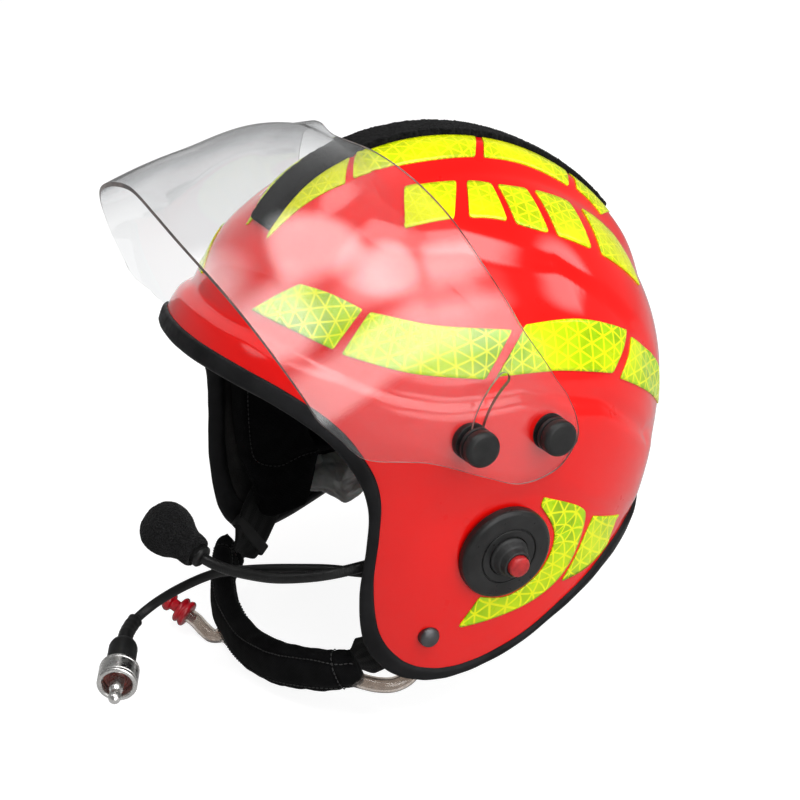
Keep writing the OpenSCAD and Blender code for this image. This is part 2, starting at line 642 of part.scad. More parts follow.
module webbing_form(side, grow) {
  p = webbing_line;
  t = tangents(p);
  moved = [for (i = [0 : len(p) - 1])
    let (a = strap_width_dir(p[i]), b = cross(t[i], unit(a - (a * t[i]) * t[i])))
    p[i] + b * web_shift * ease(i, 5, sleeve_first)];
  w = [for (q = p) strap_width_dir(q)];
  on_side(side) skin(band_rings(moved, w, webbing_w + 2 * grow, webbing_t + 2 * grow));
}
module webbing(side) {
  color("#151515") difference() {
    webbing_form(side, 0);
    on_side(side) along_x(strap_x - 10, rivet_y, rivet_z) cylinder(r = 2.6, h = 20, $fn = fine);
  }
}

// Inflation tube through the lower part of the chin sleeve, to the valve.
tube_low = 6.2;
tube_shift = 0.9;
tube_inside = [for (i = [0 : len(sleeve_line) - 1])
  let (t = tangents(sleeve_line)[i], w = strap_width_dir(sleeve_line[i]),
    a = unit(w - (w * t) * t), b = cross(t, a))
  if (sleeve_line[i][0] > -25) sleeve_line[i] + a * tube_low + b * tube_shift];
tube_near = [
  [strap_x - 6.5, -19.5, -102.2], [strap_x - 6.5, -24.5, -102.8], [strap_x - 6.3, -30.5, -107],
  [strap_x - 4.8, -36.5, -116.5], [strap_x - 0.3, -44, -125], [strap_x + 1.2, -54, -128],
  [strap_x - 2.8, -63.5, -128]
];
valve_axis = unit([-0.71, -0.54, 0.45]);
valve_root = [-51, -109.5, -140.6];
tube_far = [[-31, -97, -146.8], [-37, -101.2, -149], [-42.5, -104.2, -146.6], valve_root - valve_axis * 5,
  valve_root - valve_axis * 0.2];
tube_middle = [for (i = [2 : 3 : len(tube_inside) - 1]) tube_inside[i]];
tube_line = open_spline(concat(tube_near, tube_middle, tube_far), 2);
tube_bore = 2.6;
module inflation_tube() {
  color("#9aa0a0") hollow_tube(tube_line, tube_r, tube_bore, 12, [0, 0, 1]);
}
module chin_sleeve() {
  p = sleeve_line;
  w = [for (q = p) strap_width_dir(q)];
  color("#1a1a1a") difference() {
    skin(band_rings(p, w, sleeve_w, sleeve_t));
    webbing_form(1, 0.2);
    webbing_form(-1, 0.2);
    round_bar(tube_line, tube_r + 0.2, 12, [0, 0, 1]);
  }
}
module strap_slider() {
  q = mirrored(strap_full[9]);
  t = mirrored(tangents(strap_full)[9]);
  a = unit(strap_width_dir(q) - (strap_width_dir(q) * t) * t);
  b = cross(t, a);
  wid = webbing_w / 2;
  shift = [1, 0, 0] * web_shift * ease(9, 5, sleeve_first);
  color("#101010") difference() {
    skin([for (s = [-3.5, 3.5]) [for (k = [[-1, -1], [1, -1], [1, 1], [-1, 1]])
      q - shift + t * s + a * k[0] * (wid + 1.6) + b * k[1] * 2.4]]);
    webbing_form(-1, 0.2);
  }
}
module feed_tube() {
  root = [strap_x - 6.4, -15.8, -102];
  color("#9aa0a0") hollow_tube(open_spline([root, root + [1.1, 2.4, 1.4], root + [3.1, 4, 3.6],
    root + [4.1, 5.4, 6]], 2), tube_r, tube_bore, 12, [1, 0, 0]);
}
module place_on(at, axis) {
  translate(at) rotate([0, acos(axis[2]), atan2(axis[1], axis[0])]) children();
}
module valve_body() {
  color("#9c2020") place_on(valve_root, valve_axis) rotate_extrude($fn = fine) polygon([
    [1.6, -4], [tube_bore - 0.2, -4], [tube_bore - 0.2, 0], [valve_r, 0.1], [valve_r, 2.2],
    [valve_r - 2.4, 3],
    [valve_r - 2.6, 5], [valve_r - 2, 5.2], [valve_r - 2, 6.4], [valve_r - 3, 6.8],
    [3.4, 7], [3.4, 1], [1.6, 1]]);
}
module mouthpiece() {
  color("#c04030") place_on(valve_root + valve_axis * (1 + mouth_travel + 0.2), valve_axis)
    rotate_extrude($fn = fine)
      polygon([[1.6, 0], [3.2, 0], [3.2, 7.5], [4, 8], [4, 10], [3, 11.5], [1.6, 11.8]]);
}

// Knobs, their washers on the shell and the inserts inside it.
module visor_washers() {
  color("#181818") both_sides() for (p = knob_yz) along_x(washer_x, p[0], p[1]) difference() {
    cylinder(r = washer_r, h = visor_in_x - washer_x - swing_room, $fn = fine);
    translate([0, 0, -cut_over]) cylinder(r = stem_r + stem_clear / 2, h = 20, $fn = fine);
  }
}
module visor_inserts() {
  color("#7a7a6a") both_sides() for (p = knob_yz) along_x(insert_x - 2, p[0], p[1]) difference() {
    cylinder(r = insert_r, h = washer_x - insert_x + 2 - 0.05, $fn = fine);
    translate([0, 0, -cut_over]) cylinder(r = stem_r + 0.15, h = 20, $fn = fine);
  }
}
module knob(side, which) {
  p = knob_yz[which];
  groove_r = knob_r - 1.6;
  cap = knob_cap_h;
  color("#141414") on_side(side) along_x(visor_half_w + seam_gap, p[0], p[1]) {
    rotate_extrude($fn = fine) polygon([[0, 0], [knob_r, 0], [knob_r, 1.9], [groove_r, 2.1], [groove_r, 3.1],
      [knob_r, 3.3], [knob_r, 3.3 + cap * 0.6], [knob_r - 0.5, 3.3 + cap * 0.8],
      [knob_r - 2, 3.3 + cap], [0, 3.3 + cap * 1.05]]);
    translate([0, 0, insert_x - visor_half_w])
      cylinder(r = stem_r, h = visor_half_w - insert_x + 1, $fn = fine);
  }
}

// The visor as pairs of upper and lower edge points. Sideways places are shares
// of its half width, heights above the pivot are shares of its rise, and the
// middle numbers are millimetres behind the pivot.
visor_edges = [
  [0, -57.8, 1, 0, -166.6, 0.886], [0.247, -50.8, 0.977, 0.247, -165.9, 0.862],
  [0.469, -44.8, 0.93, 0.469, -161.8, 0.786], [0.691, -36.8, 0.809, 0.691, -152.6, 0.655],
  [0.831, -29.8, 0.672, 0.856, -140.3, 0.468], [0.914, -21.8, 0.54, 0.947, -129.4, 0.306],
  [0.955, -14.8, 0.423, 0.988, -124.1, 0.228], [0.988, -3.8, 0.29, 1, -114.8, 0.15],
  [1, 2.2, 0.212, 1, -100.8, 0.048], [1, 7.2, 0.158, 1, -67.8, -0.018],
  [1, 10.2, 0.111, 1, -37.3, -0.123], [1, 12.7, 0.068, 1, -16.8, -0.182],
  [1, 14.2, 0.025, 1, 3.2, -0.151], [1, 15, -0.014, 1, 14.2, -0.053]
];
side_flat = 14;
visor_sag = 19.1;
visor_bulge = 8;
front_square = 1.7;
// The arch sinks and grows rounder from the trailing edge to the front.
function arch_share(y) = max(0, (-59.8 - y) / 121);
function arch_height(y) =
  let (s = arch_share(y))
  visor_rise - visor_sag * pow(s, 1.6) + visor_bulge * clamp01(4 * s * (1 - s));
function arch_power(y) = mix(visor_square, front_square, ease(arch_share(y), 0, 0.58));
function visor_place(e, s, depth) =
  let (
    y = mix(e[1], e[4], s),
    h = arch_height(y),
    m = arch_power(y),
    a = mix(e[0], e[3], s),
    b = (mix(e[2], e[5], s) * visor_rise - side_flat) / (h - side_flat),
    c = abs(a),
    k = b <= 0 ? 1 / c : pow(pow(c, m) + pow(b, m), -1 / m),
    n = b <= 0 ? [sign(a), 0, 0]
      : unit([sign(a) * pow(c * k, m - 1) / visor_half_w, 0, pow(b * k, m - 1) / (h - side_flat)])
  )
  [a * k * visor_half_w, pivot_y + y, pivot_z + side_flat + b * (b <= 0 ? 1 : k) * (h - side_flat)]
    - n * depth;
visor_rows = 5;
function visor_ring(e) = concat(
  [for (k = [0 : visor_rows]) visor_place(e, k / visor_rows, 0)],
  [for (k = [visor_rows : -1 : 0]) visor_place(e, k / visor_rows, visor_t)]);
module visor() {
  n = len(visor_edges);
  right = [for (i = [n - 1 : -1 : 1]) let (e = visor_edges[i]) [-e[0], e[1], e[2], -e[3], e[4], e[5]]];
  across = open_spline(concat(right, visor_edges), 2);
  slot_r = stem_r + stem_clear;
  color("#e8f0f2", 0.35) difference() {
    skin([for (e = across) visor_ring(e)]);
    both_sides() {
      along_x(visor_in_x - 4, pivot_y, pivot_z)
        cylinder(r = stem_r + stem_clear / 2, h = 12, $fn = fine);
      translate([0, pivot_y, pivot_z]) for (a = [lock_angle, lock_angle + slot_sweep])
        along_x(visor_in_x - 4, -lock_r * cos(a), lock_r * sin(a))
          cylinder(r = slot_r, h = 12, $fn = fine);
      translate([visor_in_x - 4, pivot_y, pivot_z]) rotate([0, 90, 0])
        rotate([0, 0, -90 - lock_angle - slot_sweep])
        rotate_extrude(angle = slot_sweep, $fn = 96)
        translate([lock_r - slot_r, 0]) square([2 * slot_r, 12]);
    }
  }
}

// Boom microphone on a base against the inside of the shell.
boom_hinge = [shell_half_w - 29.5, -46, -58];
mic_centre = [2, -137, -63];
mic_axis = unit([-0.806, -0.432, 0.403]);
boom_line = open_spline([boom_hinge + [0, -4, -0.3],
  boom_hinge + [-0.2, -12, -1], boom_hinge + [-1.2, -23, -2.2],
  boom_hinge + [-6, -37, -5], boom_hinge + [-15, -48.5, -8.5], boom_hinge + [-28.5, -61, -12],
  [40, -117, -72.7], [28, -123, -73.2],
  mic_centre - mic_axis * 21, mic_centre - mic_axis * 16], 3);
module boom_base() {
  back_x = wall_x(boom_hinge[1] - 9, boom_hinge[2] + 7) - 1;
  color("#1e1e1e") {
    along_x(boom_hinge[0] + 5, boom_hinge[1], boom_hinge[2])
      cylinder(r = 9, h = back_x - boom_hinge[0] - 5, $fn = fine);
    along_x(boom_hinge[0] - 5, boom_hinge[1], boom_hinge[2]) cylinder(r = 2, h = 11, $fn = fine);
  }
}
module mic_boom() {
  color("#121212") {
    difference() {
      along_x(boom_hinge[0] - 4.7, boom_hinge[1], boom_hinge[2]) cylinder(r = 5.5, h = 9.4, $fn = fine);
      along_x(boom_hinge[0] - 10, boom_hinge[1], boom_hinge[2]) cylinder(r = 2.2, h = 20, $fn = fine);
    }
    round_bar(boom_line, boom_r, 12, [1, 0, 0]);
  }
}
module boom_cuff() {
  color("#242424") place_on(mic_centre - mic_axis * 21, mic_axis) rotate_extrude($fn = fine) polygon([
    [boom_r + 0.3, 0], [5.2, 0], [6, 0.8], [6, 2.4], [5.4, 3], [5.4, 9], [boom_r + 0.3, 9]]);
}
module mic_capsule() {
  color("#3a3a3a") place_on(mic_centre - mic_axis * 11.5, mic_axis)
    cylinder(r = 5.4, h = 15, $fn = fine);
}
module mic_windscreen() {
  r = windscreen_r;
  l = windscreen_len;
  color("#101010") place_on(mic_centre - mic_axis * l / 2, mic_axis) rotate_extrude($fn = fine) polygon([
    [5.7, 0.6], [r * 0.62, 0], [r * 0.84, l * 0.08], [r * 0.96, l * 0.2], [r, l * 0.36], [r, l * 0.55],
    [r * 0.95, l * 0.72], [r * 0.8, l * 0.87], [r * 0.52, l * 0.97], [0, l],
    [0, l * 0.64], [5.7, l * 0.64]]);
}

// Cable from a gland in the left cheek pad to the hanging plug.
plug_back = [13.5, -171, -112.8];
plug_axis = unit([0.87, -0.46, -0.17]);
cable_root = boom_hinge + [-6, -4, -11.8];
cable_points = [
  cable_root, cable_root + [-0.2, -8, 0.8], cable_root + [-2.5, -17, 2.3], cable_root + [-10.5, -31, 3.8],
  cable_root + [-20.5, -42, 2.3], [46, -104, -71],
  [30, -112, -77], [16, -118, -83], [8, -123.5, -88], [3, -130, -92.5], [-2.5, -136.5, -98],
  [-6.5, -143.5, -103.5],
  [-7.8, -150, -107.8], [-5, -157, -110.3], [0.5, -163, -111.6], [7, -167.6, -111.9]
];
cable_line = concat(open_spline(cable_points, 2), [plug_back, plug_back + plug_axis * 3]);
shrink_from = 26;
module comms_cable() {
  color("#0e0e0e") round_bar(cable_line, cable_r, 10, [1, 0, 0]);
}
module cable_gland() {
  color("#1c1c1c") translate(cable_points[0] + [0, 10.6, 0]) rotate([90, 0, 0]) difference() {
    cylinder(r = 4.6, h = 9, $fn = fine);
    translate([0, 0, 5]) cylinder(r = cable_r + 0.4, h = 9, $fn = fine);
  }
}
module shrink_sleeve() {
  p = [for (i = [shrink_from : len(cable_line) - 1]) cable_line[i]];
  color("#181818") hollow_tube(p, shrink_r, cable_r + 0.2, 12, [1, 0, 0]);
}
module plug_barrel() {
  color("#141414") place_on(plug_back, plug_axis) rotate_extrude($fn = fine) polygon([[shrink_r + 0.2, 0],
    [barrel_r * 0.74, 0], [barrel_r * 0.9, 1.2], [barrel_r, 3.6], [barrel_r, barrel_len], [0, barrel_len],
    [0, 4.2], [shrink_r + 0.2, 4.2]]);
}
ring_start = barrel_len + 0.05;
ring_len = 16;
module plug_ring() {
  color("#c8c8c4") place_on(plug_back + plug_axis * ring_start, plug_axis)
    rotate_extrude($fn = fine) polygon([[0, 0], [barrel_r, 0], [barrel_r + 0.8, 1], [ring_r, 3.4], [ring_r, ring_len - 1], [ring_r - 0.6, ring_len],
    [ring_r - 1.8, ring_len + 0.2], [ring_r - 2.4, ring_len - 0.4], [ring_r - 2.8, ring_len - 2],
    [ring_r - 2.8, 5], [0, 5]]);
}
module plug_insulator() {
  color("#7a2a24") place_on(plug_back + plug_axis * (ring_start + 5.05), plug_axis) difference() {
    cylinder(r = ring_r - 2.9, h = 6, $fn = fine);
    translate([0, 0, -cut_over]) cylinder(r = pin_r - pin_step + soft_gap / 6, h = 10, $fn = fine);
  }
}
pin_step = 0.2;
module plug_pin() {
  color("#d8d8d4") place_on(plug_back + plug_axis * (ring_start + 5.05), plug_axis)
    rotate_extrude($fn = fine) polygon([[0, 0], [pin_r - pin_step, 0], [pin_r - pin_step, 6.3],
    [pin_r, 6.3], [pin_r, 14.6], [pin_r * 0.72, 16.2], [pin_r * 0.66, 17.2], [pin_r * 0.9, 18.6],
    [pin_r * 0.96, 20.4], [pin_r * 0.78, 22.6], [pin_r * 0.3, 24], [0, 24.1]]);
}

// Hook and loop strip along the ridge, then the tapes.
strip_angles = [-46, -40, -34, -28, -22, -16, -10, -4, 2, 8, 14, 20, 26, 32, 38, 44, 50, 55];
module hook_loop_strip() {
  color("#0c0c0c") skin([for (a = strip_angles)
    let (d = [for (x = [-1, -0.5, 0, 0.5, 1])
      unit([x * strip_half_w, sin(a) * shell_front, cos(a) * shell_front])])
    concat([for (v = d) v * (shell_radius(v) + tape_lift + strip_t)],
      [for (i = [4 : -1 : 0]) d[i] * (shell_radius(d[i]) + tape_lift)])]);
}
crest_panels = [
  [[[14.5, -86, 99], [14.5, -62, 116], [14.5, -39, 126]], [[16.5, -88, 97], [21, -68, 109], [26, -49, 118]]],
  [[[14.5, -36, 127], [14.5, 0, 132], [14.5, 32, 127]], [[25, -44, 120], [28, -10, 125], [28, 23, 123]]],
  [[[14.5, 36, 126], [14.5, 60, 118], [14.5, 84, 104]], [[28, 28, 122], [28, 52, 115], [29, 78, 100]]],
  [[[14.5, 88, 100], [14.5, 99, 88], [14.5, 110, 72]], [[27, 85, 98], [28, 92, 90], [30, 98, 82]]]
];
side_panels = [
  [[[36, -105, 64], [50, -86, 77], [74, -65, 73]], [[50, -101, 60], [64, -90, 60], [77, -82, 53]]],
  [[[79, -62, 70], [93, -39, 65], [102, 1, 58]], [[81, -79, 52], [95, -60, 46], [109, -19, 38]]],
  [[[101, 9, 59], [97, 45, 54], [90, 77, 40]], [[110, -11, 38], [109, 28, 34], [103, 60, 25]]],
  [[[88, 81, 36], [81, 96, 24], [72, 109, 10]], [[102, 66, 21], [88, 92, 4], [67, 113, -14]]]
];
ear_panels = [
  [[[116, 17, -30], [110, 45, -46], [104, 34, -68], [106, 14, -83], [106, -28, -92]],
    [[115, 15, -34], [113, 24, -52], [112, 17, -70], [111, -1, -80], [110, -18, -77]]],
  [[[106, 52, -51], [101, 64, -56], [94, 75, -60]], [[107, 31, -80], [103, 49, -79], [97, 67, -75]]]
];
panel_top = [[37, -34, 114], [42, 8, 116], [45, 30, 110], [44, 62, 100], [36, 103, 70]];
panel_low = [[59, -36, 101], [64, 7, 103], [70, 36, 94], [70, 70, 78], [56, 112, 40]];
module panel_set(list, k) {
  both_sides() for (q = list) patch(q[0], q[1], k, 3, tape_lift, tape_t);
}
module crest_tapes() {
  color("#c8e840") panel_set(crest_panels, 3);
}
module side_tapes() {
  color("#c8e840") panel_set(side_panels, 4);
}
module ear_tapes() {
  color("#c8e840") panel_set(ear_panels, 3);
}
bar_gap = 0.22;
bar_slant = 0.06;
module panel_tapes() {
  color("#c8e840") both_sides() for (i = [0 : bar_count - 1])
    let (a = (i + bar_gap / 2) / bar_count, b = (i + 1 - bar_gap / 2) / bar_count,
      up = [for (j = [0 : 2]) along(panel_top, bar_slant + (1 - bar_slant) * mix(a, b, j / 2))],
      low = [for (j = [0 : 2]) along(panel_low, (1 - bar_slant) * mix(a, b, j / 2))])
    patch(up, low, 2, 4, tape_lift, tape_t);
}

crown_frame() {
  shell();
  edge_trim();
  foam_liner();
  crown_pad();
  brow_pad();
  nape_bladder();
  cheek_pad(1);  // left_cheek_pad
  cheek_pad(-1);  // right_cheek_pad
  ear_cup(1);  // left_ear_cup
  ear_cup(-1);  // right_ear_cup
  speaker(1);  // left_speaker
  speaker(-1);  // right_speaker
  ear_cushion(1);  // left_ear_cushion
  ear_cushion(-1);  // right_ear_cushion
  hook_loop_strip();
  crest_tapes();
  panel_tapes();
  side_tapes();
  ear_tapes();
  visor();
  visor_inserts();
  visor_washers();
  knob(1, 0);  // left_pivot_knob
  knob(-1, 0);  // right_pivot_knob
  knob(1, 1);  // left_lock_knob
  knob(-1, 1);  // right_lock_knob
  switch_pod();
  switch_hub();
  talk_button();
  button_spring();
  switch_body();
  pod_nut();
  blank_pod();
  strap_rivets();
  rivet_washers();
  webbing(1);  // left_webbing
  webbing(-1);  // right_webbing
  chin_sleeve();
  strap_slider();
  inflation_tube();
  feed_tube();
  valve_body();
  mouthpiece();
  boom_base();
  mic_boom();
  boom_cuff();
  mic_capsule();
  mic_windscreen();
  cable_gland();
  comms_cable();
  shrink_sleeve();
  plug_barrel();
  plug_ring();
  plug_insulator();
  plug_pin();
}
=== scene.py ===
"""Marine safety helmet: looks, soft pieces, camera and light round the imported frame.

Lengths are in mm from the head's centre, and world() turns them into the row frame's metres.
"""
import bmesh
import bpy
import math
import numpy as np
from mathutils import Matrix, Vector, noise
from mathutils.bvhtree import BVHTree

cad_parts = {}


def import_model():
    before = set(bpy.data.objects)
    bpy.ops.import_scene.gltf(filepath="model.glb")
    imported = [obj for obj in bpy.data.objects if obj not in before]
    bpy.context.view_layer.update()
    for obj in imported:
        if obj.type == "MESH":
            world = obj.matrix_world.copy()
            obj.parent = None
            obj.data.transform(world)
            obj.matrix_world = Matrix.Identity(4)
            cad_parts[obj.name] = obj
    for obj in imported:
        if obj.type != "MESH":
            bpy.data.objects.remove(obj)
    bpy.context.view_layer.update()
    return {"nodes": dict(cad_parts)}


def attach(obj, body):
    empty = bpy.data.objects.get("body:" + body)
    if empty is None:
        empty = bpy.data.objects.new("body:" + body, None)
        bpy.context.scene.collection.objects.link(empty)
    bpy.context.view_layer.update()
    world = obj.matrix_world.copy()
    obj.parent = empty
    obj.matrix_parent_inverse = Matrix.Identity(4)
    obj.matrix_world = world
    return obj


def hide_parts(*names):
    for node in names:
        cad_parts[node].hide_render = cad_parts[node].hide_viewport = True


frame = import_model()
SCENE = bpy.context.scene
NODES = frame["nodes"]
DROP = 0.093
SIDES = ((1, "left"), (-1, "right"))


# ---------------------------------------------------------------- helpers
def ease(x, a, b):
    t = np.clip((x - a) / (b - a), 0, 1)
    return t * t * (3 - 2 * t)


def unit(v):
    v = np.asarray(v, float)
    return v / np.linalg.norm(v, axis=-1, keepdims=True)


def world(p):
    return np.asarray(p, float) / 1000 - np.array([0, 0, DROP])


def local(p):
    return p * 1000 + np.array([0, 0, DROP * 1000])


def facing(phi, psi):
    """The direction at phi degrees round from the front and psi degrees up."""
    a, b = np.radians(phi), np.radians(psi)
    return np.stack([np.sin(a) * np.cos(b), -np.cos(a) * np.cos(b), np.sin(b)], -1)


def catmull_at(p, u, closed=False):
    """The curve through p at the places u, counted in its points."""
    p = np.asarray(p, float)
    m = len(p)
    i = np.minimum(np.floor(u).astype(int), m - 1 if closed else m - 2)
    t = (u - i)[:, None]
    a, b, c, d = (p[j % m if closed else np.clip(j, 0, m - 1)] for j in (i - 1, i, i + 1, i + 2))
    return 0.5 * (2 * b + (c - a) * t + (2 * a - 5 * b + 4 * c - d) * t**2 + (3 * b - a - 3 * c + d) * t**3)


def catmull(p, n, closed=False):
    """n points along the curve through p, evenly in its parameter."""
    m = len(p)
    u = np.linspace(0, m, n, endpoint=False) if closed else np.linspace(0, m - 1, n)
    return catmull_at(p, u, closed)


def steps(p):
    return np.linalg.norm(np.diff(np.asarray(p, float), axis=0), axis=1)


def travel(p):
    return np.concatenate([[0], np.cumsum(steps(p))])


def interp3(u, s, p):
    return np.stack([np.interp(u, s, p[:, k]) for k in range(3)], -1)


def even(p, n):
    """n points evenly along a fine polyline."""
    p = np.asarray(p, float)
    s = travel(p)
    return interp3(np.linspace(0, s[-1], n), s, p)


def slerp(a, b, t):
    w = np.arccos(np.clip((a * b).sum(-1), -1, 1))[..., None]
    return (np.sin((1 - t) * w) * a + np.sin(t * w) * b) / np.sin(w)


def mirror(p):
    return np.asarray(p, float) * np.array([-1, 1, 1])


# ------------------------------------------------- the shell, as in the part
HALF_W, FRONT, REAR, TOP, WALL = 116.0, 128.0, 134.0, 125.0, 4.5
UNDER_FRONT, UNDER_REAR = 300, 175
CREST_H, CREST_FLAT, CREST_FOOT = 7.0, 15.0, 38.0
# moulded folds: (phi, psi) points, groove depth and half width, step height, rise and far end
FOLDS = [
    ([(40, 57), (59, 53), (83, 53), (98, 48), (116, 41), (129, 28), (141, 11), (150, 0)], 1.2, 2.2, -1.8, 3, 17),
    ([(0, 27), (20, 26.5), (35, 24), (47, 21), (60, 17), (72, 15), (91, 15), (115, 7), (136, -8), (150, -12)],
     1.2, 2.2, 2.2, 4, 24),
    ([(62, -15), (69, -12), (86, -9), (98, -11), (113, -20), (130, -26), (143, -29), (160, -29)],
     0.9, 2, -1.6, 3, 16),
]
RIM_LEFT = [(0, 16.5), (20, 15.5), (34, 12.5), (45, 6.5), (51.5, -2), (54, -10), (53.5, -19), (51.7, -30),
            (52.3, -39.5), (57, -45), (65, -47.8), (76, -48.3), (90, -46.3), (108, -40.5), (126, -34.7),
            (150, -31), (180, -30)]
LINER_LEFT = [(0, 22), (20, 21), (34, 18), (43, 13), (50, 6.5), (56, 1), (62, -3), (72, -4.5), (92, -4.5),
              (108, -6), (126, -11), (150, -15), (180, -15)]
POLE = facing(180.0, 45.0)


def plain_radius(d):
    fore = np.where(d[..., 1] < 0, FRONT, REAR)
    under = UNDER_FRONT + (UNDER_REAR - UNDER_FRONT) * ease(d[..., 1], 0, 0.9)
    tall = np.where(d[..., 2] > 0, TOP, under)
    h = ((np.abs(d[..., 0]) / HALF_W) ** 2.2 + (np.abs(d[..., 1]) / fore) ** 2.2) ** (1 / 2.2)
    return (h**1.95 + (np.abs(d[..., 2]) / tall) ** 1.95) ** (-1 / 1.95)


def fold_shift(fold, phi, psi):
    line, deep, half, high, rise, end = fold
    line = np.array(line, float)
    s = np.interp(phi, line[:, 0], line[:, 1]) - psi
    first, last = line[0, 0], line[-1, 0]
    fade_in = 1.0 if first == 0 else ease(phi, first, first + 12)
    fade_out = 1 - ease(phi, last - 14, last)
    groove = -deep * np.exp(-((s / half) ** 2))
    return (groove + high * ease(s, 0, rise) * (1 - ease(s, rise, end))) * fade_in * fade_out


def shell_radius(d):
    d = np.asarray(d, float)
    phi = np.degrees(np.arctan2(np.abs(d[..., 0]), -d[..., 1]))
    psi = np.degrees(np.arcsin(np.clip(d[..., 2], -1, 1)))
    plain = plain_radius(d)
    side = np.abs(d[..., 0]) * plain
    fade = np.where(d[..., 1] < 0, ease(d[..., 2], 0.7, 0.93), ease(d[..., 2], 0.05, 0.5))
    r = plain + CREST_H * (1 - ease(side, CREST_FLAT, CREST_FOOT)) * fade
    # the brow swells above the opening, under a shallow hollow
    r = r + (1 - ease(phi, 30, 56)) * (3.0 * (1 - ease(psi, 15, 24)) - 2.4 * np.exp(-(((psi - 30) / 6) ** 2)))
    for fold in FOLDS:
        r = r + fold_shift(fold, phi, psi)
    return r


def inner_radius(d):
    return plain_radius(np.asarray(d, float)) - WALL


def on_shell(d, high=0.0):
    return d * (shell_radius(d) + high)[..., None]


def on_wall(d, deep=0.0):
    return d * (inner_radius(d) - deep)[..., None]


def edge_dirs(half, n):
    f = facing(*np.array(half, float).T)
    return unit(catmull(np.concatenate([f, mirror(f[-2:0:-1])]), n, closed=True))


def from_pole(edge, share):
    return slerp(np.broadcast_to(POLE, edge.shape), edge, share)


def lip_dirs(e, cover=6.5):
    """The directions of a line that runs cover mm inside an edge."""
    back = cover / (plain_radius(e) * math.pi / 180)
    turn = np.degrees(np.arccos(np.clip((e * POLE).sum(-1), -1, 1)))
    return from_pole(e, (1 - back / turn)[:, None])


def wall_x(y, z):
    """How far out the shell's inner face lies at y, z."""
    x = 95.0
    for _ in range(6):
        p = np.array([x, y, z])
        n = np.linalg.norm(p)
        x = x + (float(inner_radius(p / n)) - n) * n / x
    return x


def wall_at(phi, z, depth):
    phi, z = np.broadcast_arrays(np.asarray(phi, float), np.asarray(z, float))
    a = np.radians(phi)
    h = np.full(phi.shape, 100.0)
    for _ in range(6):
        r = inner_radius(unit(np.stack([np.sin(a) * h, -np.cos(a) * h, z], -1)))
        h = np.sqrt(r * r - z * z)
    h = h - depth
    return np.stack([np.sin(a) * h, -np.cos(a) * h, z], -1)


# ---------------------------------------------------------------- meshes
def dress(ob, name, slot, body):
    SCENE.collection.objects.link(ob)
    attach(ob, body)
    if slot:
        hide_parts(name)
    return ob


def fix_normals(me):
    bm = bmesh.new()
    bm.from_mesh(me)
    bmesh.ops.recalc_face_normals(bm, faces=bm.faces)
    bm.to_mesh(me)
    bm.free()


def add(name, verts, faces, skin, slot=None, body="helmet", uv=None, face_skin=None):
    """A mesh. With a slot it is called NAME_v and stands for the CAD node NAME."""
    title = name + "_v" if slot else name
    me = bpy.data.meshes.new(title)
    me.from_pydata([tuple(x) for x in world(verts)], [], [tuple(int(i) for i in f) for f in faces])
    me.validate()
    if uv is not None:
        layer = me.uv_layers.new(name="UVMap")
        idx = np.zeros(len(me.loops), dtype=np.int64)
        me.loops.foreach_get("vertex_index", idx)
        layer.data.foreach_set("uv", np.asarray(uv, float)[idx].ravel())
    me.polygons.foreach_set("use_smooth", [True] * len(me.polygons))
    for m in skin if isinstance(skin, list) else [skin]:
        me.materials.append(m)
    if face_skin is not None:
        me.polygons.foreach_set("material_index", np.asarray(face_skin, dtype=np.int32))
    fix_normals(me)
    return dress(bpy.data.objects.new(title, me), name, slot, body)


def baked(ob):
    """Puts what the modifiers make into the object's own mesh."""
    new = bpy.data.meshes.new_from_object(ob.evaluated_get(bpy.context.evaluated_depsgraph_get()))
    ob.modifiers.clear()
    old = ob.data
    ob.data = new
    bpy.data.meshes.remove(old)


def flat_edges(ob, deg=35):
    """Keeps smooth shading but splits the normals at real corners."""
    bm = bmesh.new()
    bm.from_mesh(ob.data)
    for e in bm.edges:
        if len(e.link_faces) == 2 and e.calc_face_angle(0) > math.radians(deg):
            e.smooth = False
    bm.to_mesh(ob.data)
    bm.free()


def grid_faces(rows, cols, wrap_cols=True, wrap_rows=False):
    out = []
    for i in range(rows if wrap_rows else rows - 1):
        for j in range(cols if wrap_cols else cols - 1):
            a, b = i * cols + j, i * cols + (j + 1) % cols
            c, d = ((i + 1) % rows) * cols + j, ((i + 1) % rows) * cols + (j + 1) % cols
            out.append((a, b, d, c))
    return out


def fan_faces(m, n):
    """Fans from two extra points, which close a grid of m rings of n."""
    out = [(m * n, (j + 1) % n, j) for j in range(n)]
    return out + [(m * n + 1, (m - 1) * n + j, (m - 1) * n + (j + 1) % n) for j in range(n)]


def end_faces(m, n):
    """The two narrow ends of m rings that run out over a sheet and back under it."""
    out = []
    for e in (0, m - 1):
        for j in range(n // 2 - 1):
            a, b, c, g = e * n + j, e * n + j + 1, e * n + n - 2 - j, e * n + n - 1 - j
            out.append((a, b, c, g) if e else (a, g, c, b))
    return out


def loft(name, rings, skin, slot, wrap_rows=False, **kw):
    rings = np.asarray(rings, float)
    m, n = rings.shape[:2]
    v, f = rings.reshape(-1, 3), grid_faces(m, n, True, wrap_rows)
    if not wrap_rows:
        v = np.concatenate([v, rings[0].mean(0)[None], rings[-1].mean(0)[None]])
        f += fan_faces(m, n)
    return add(name, v, f, skin, slot, **kw)


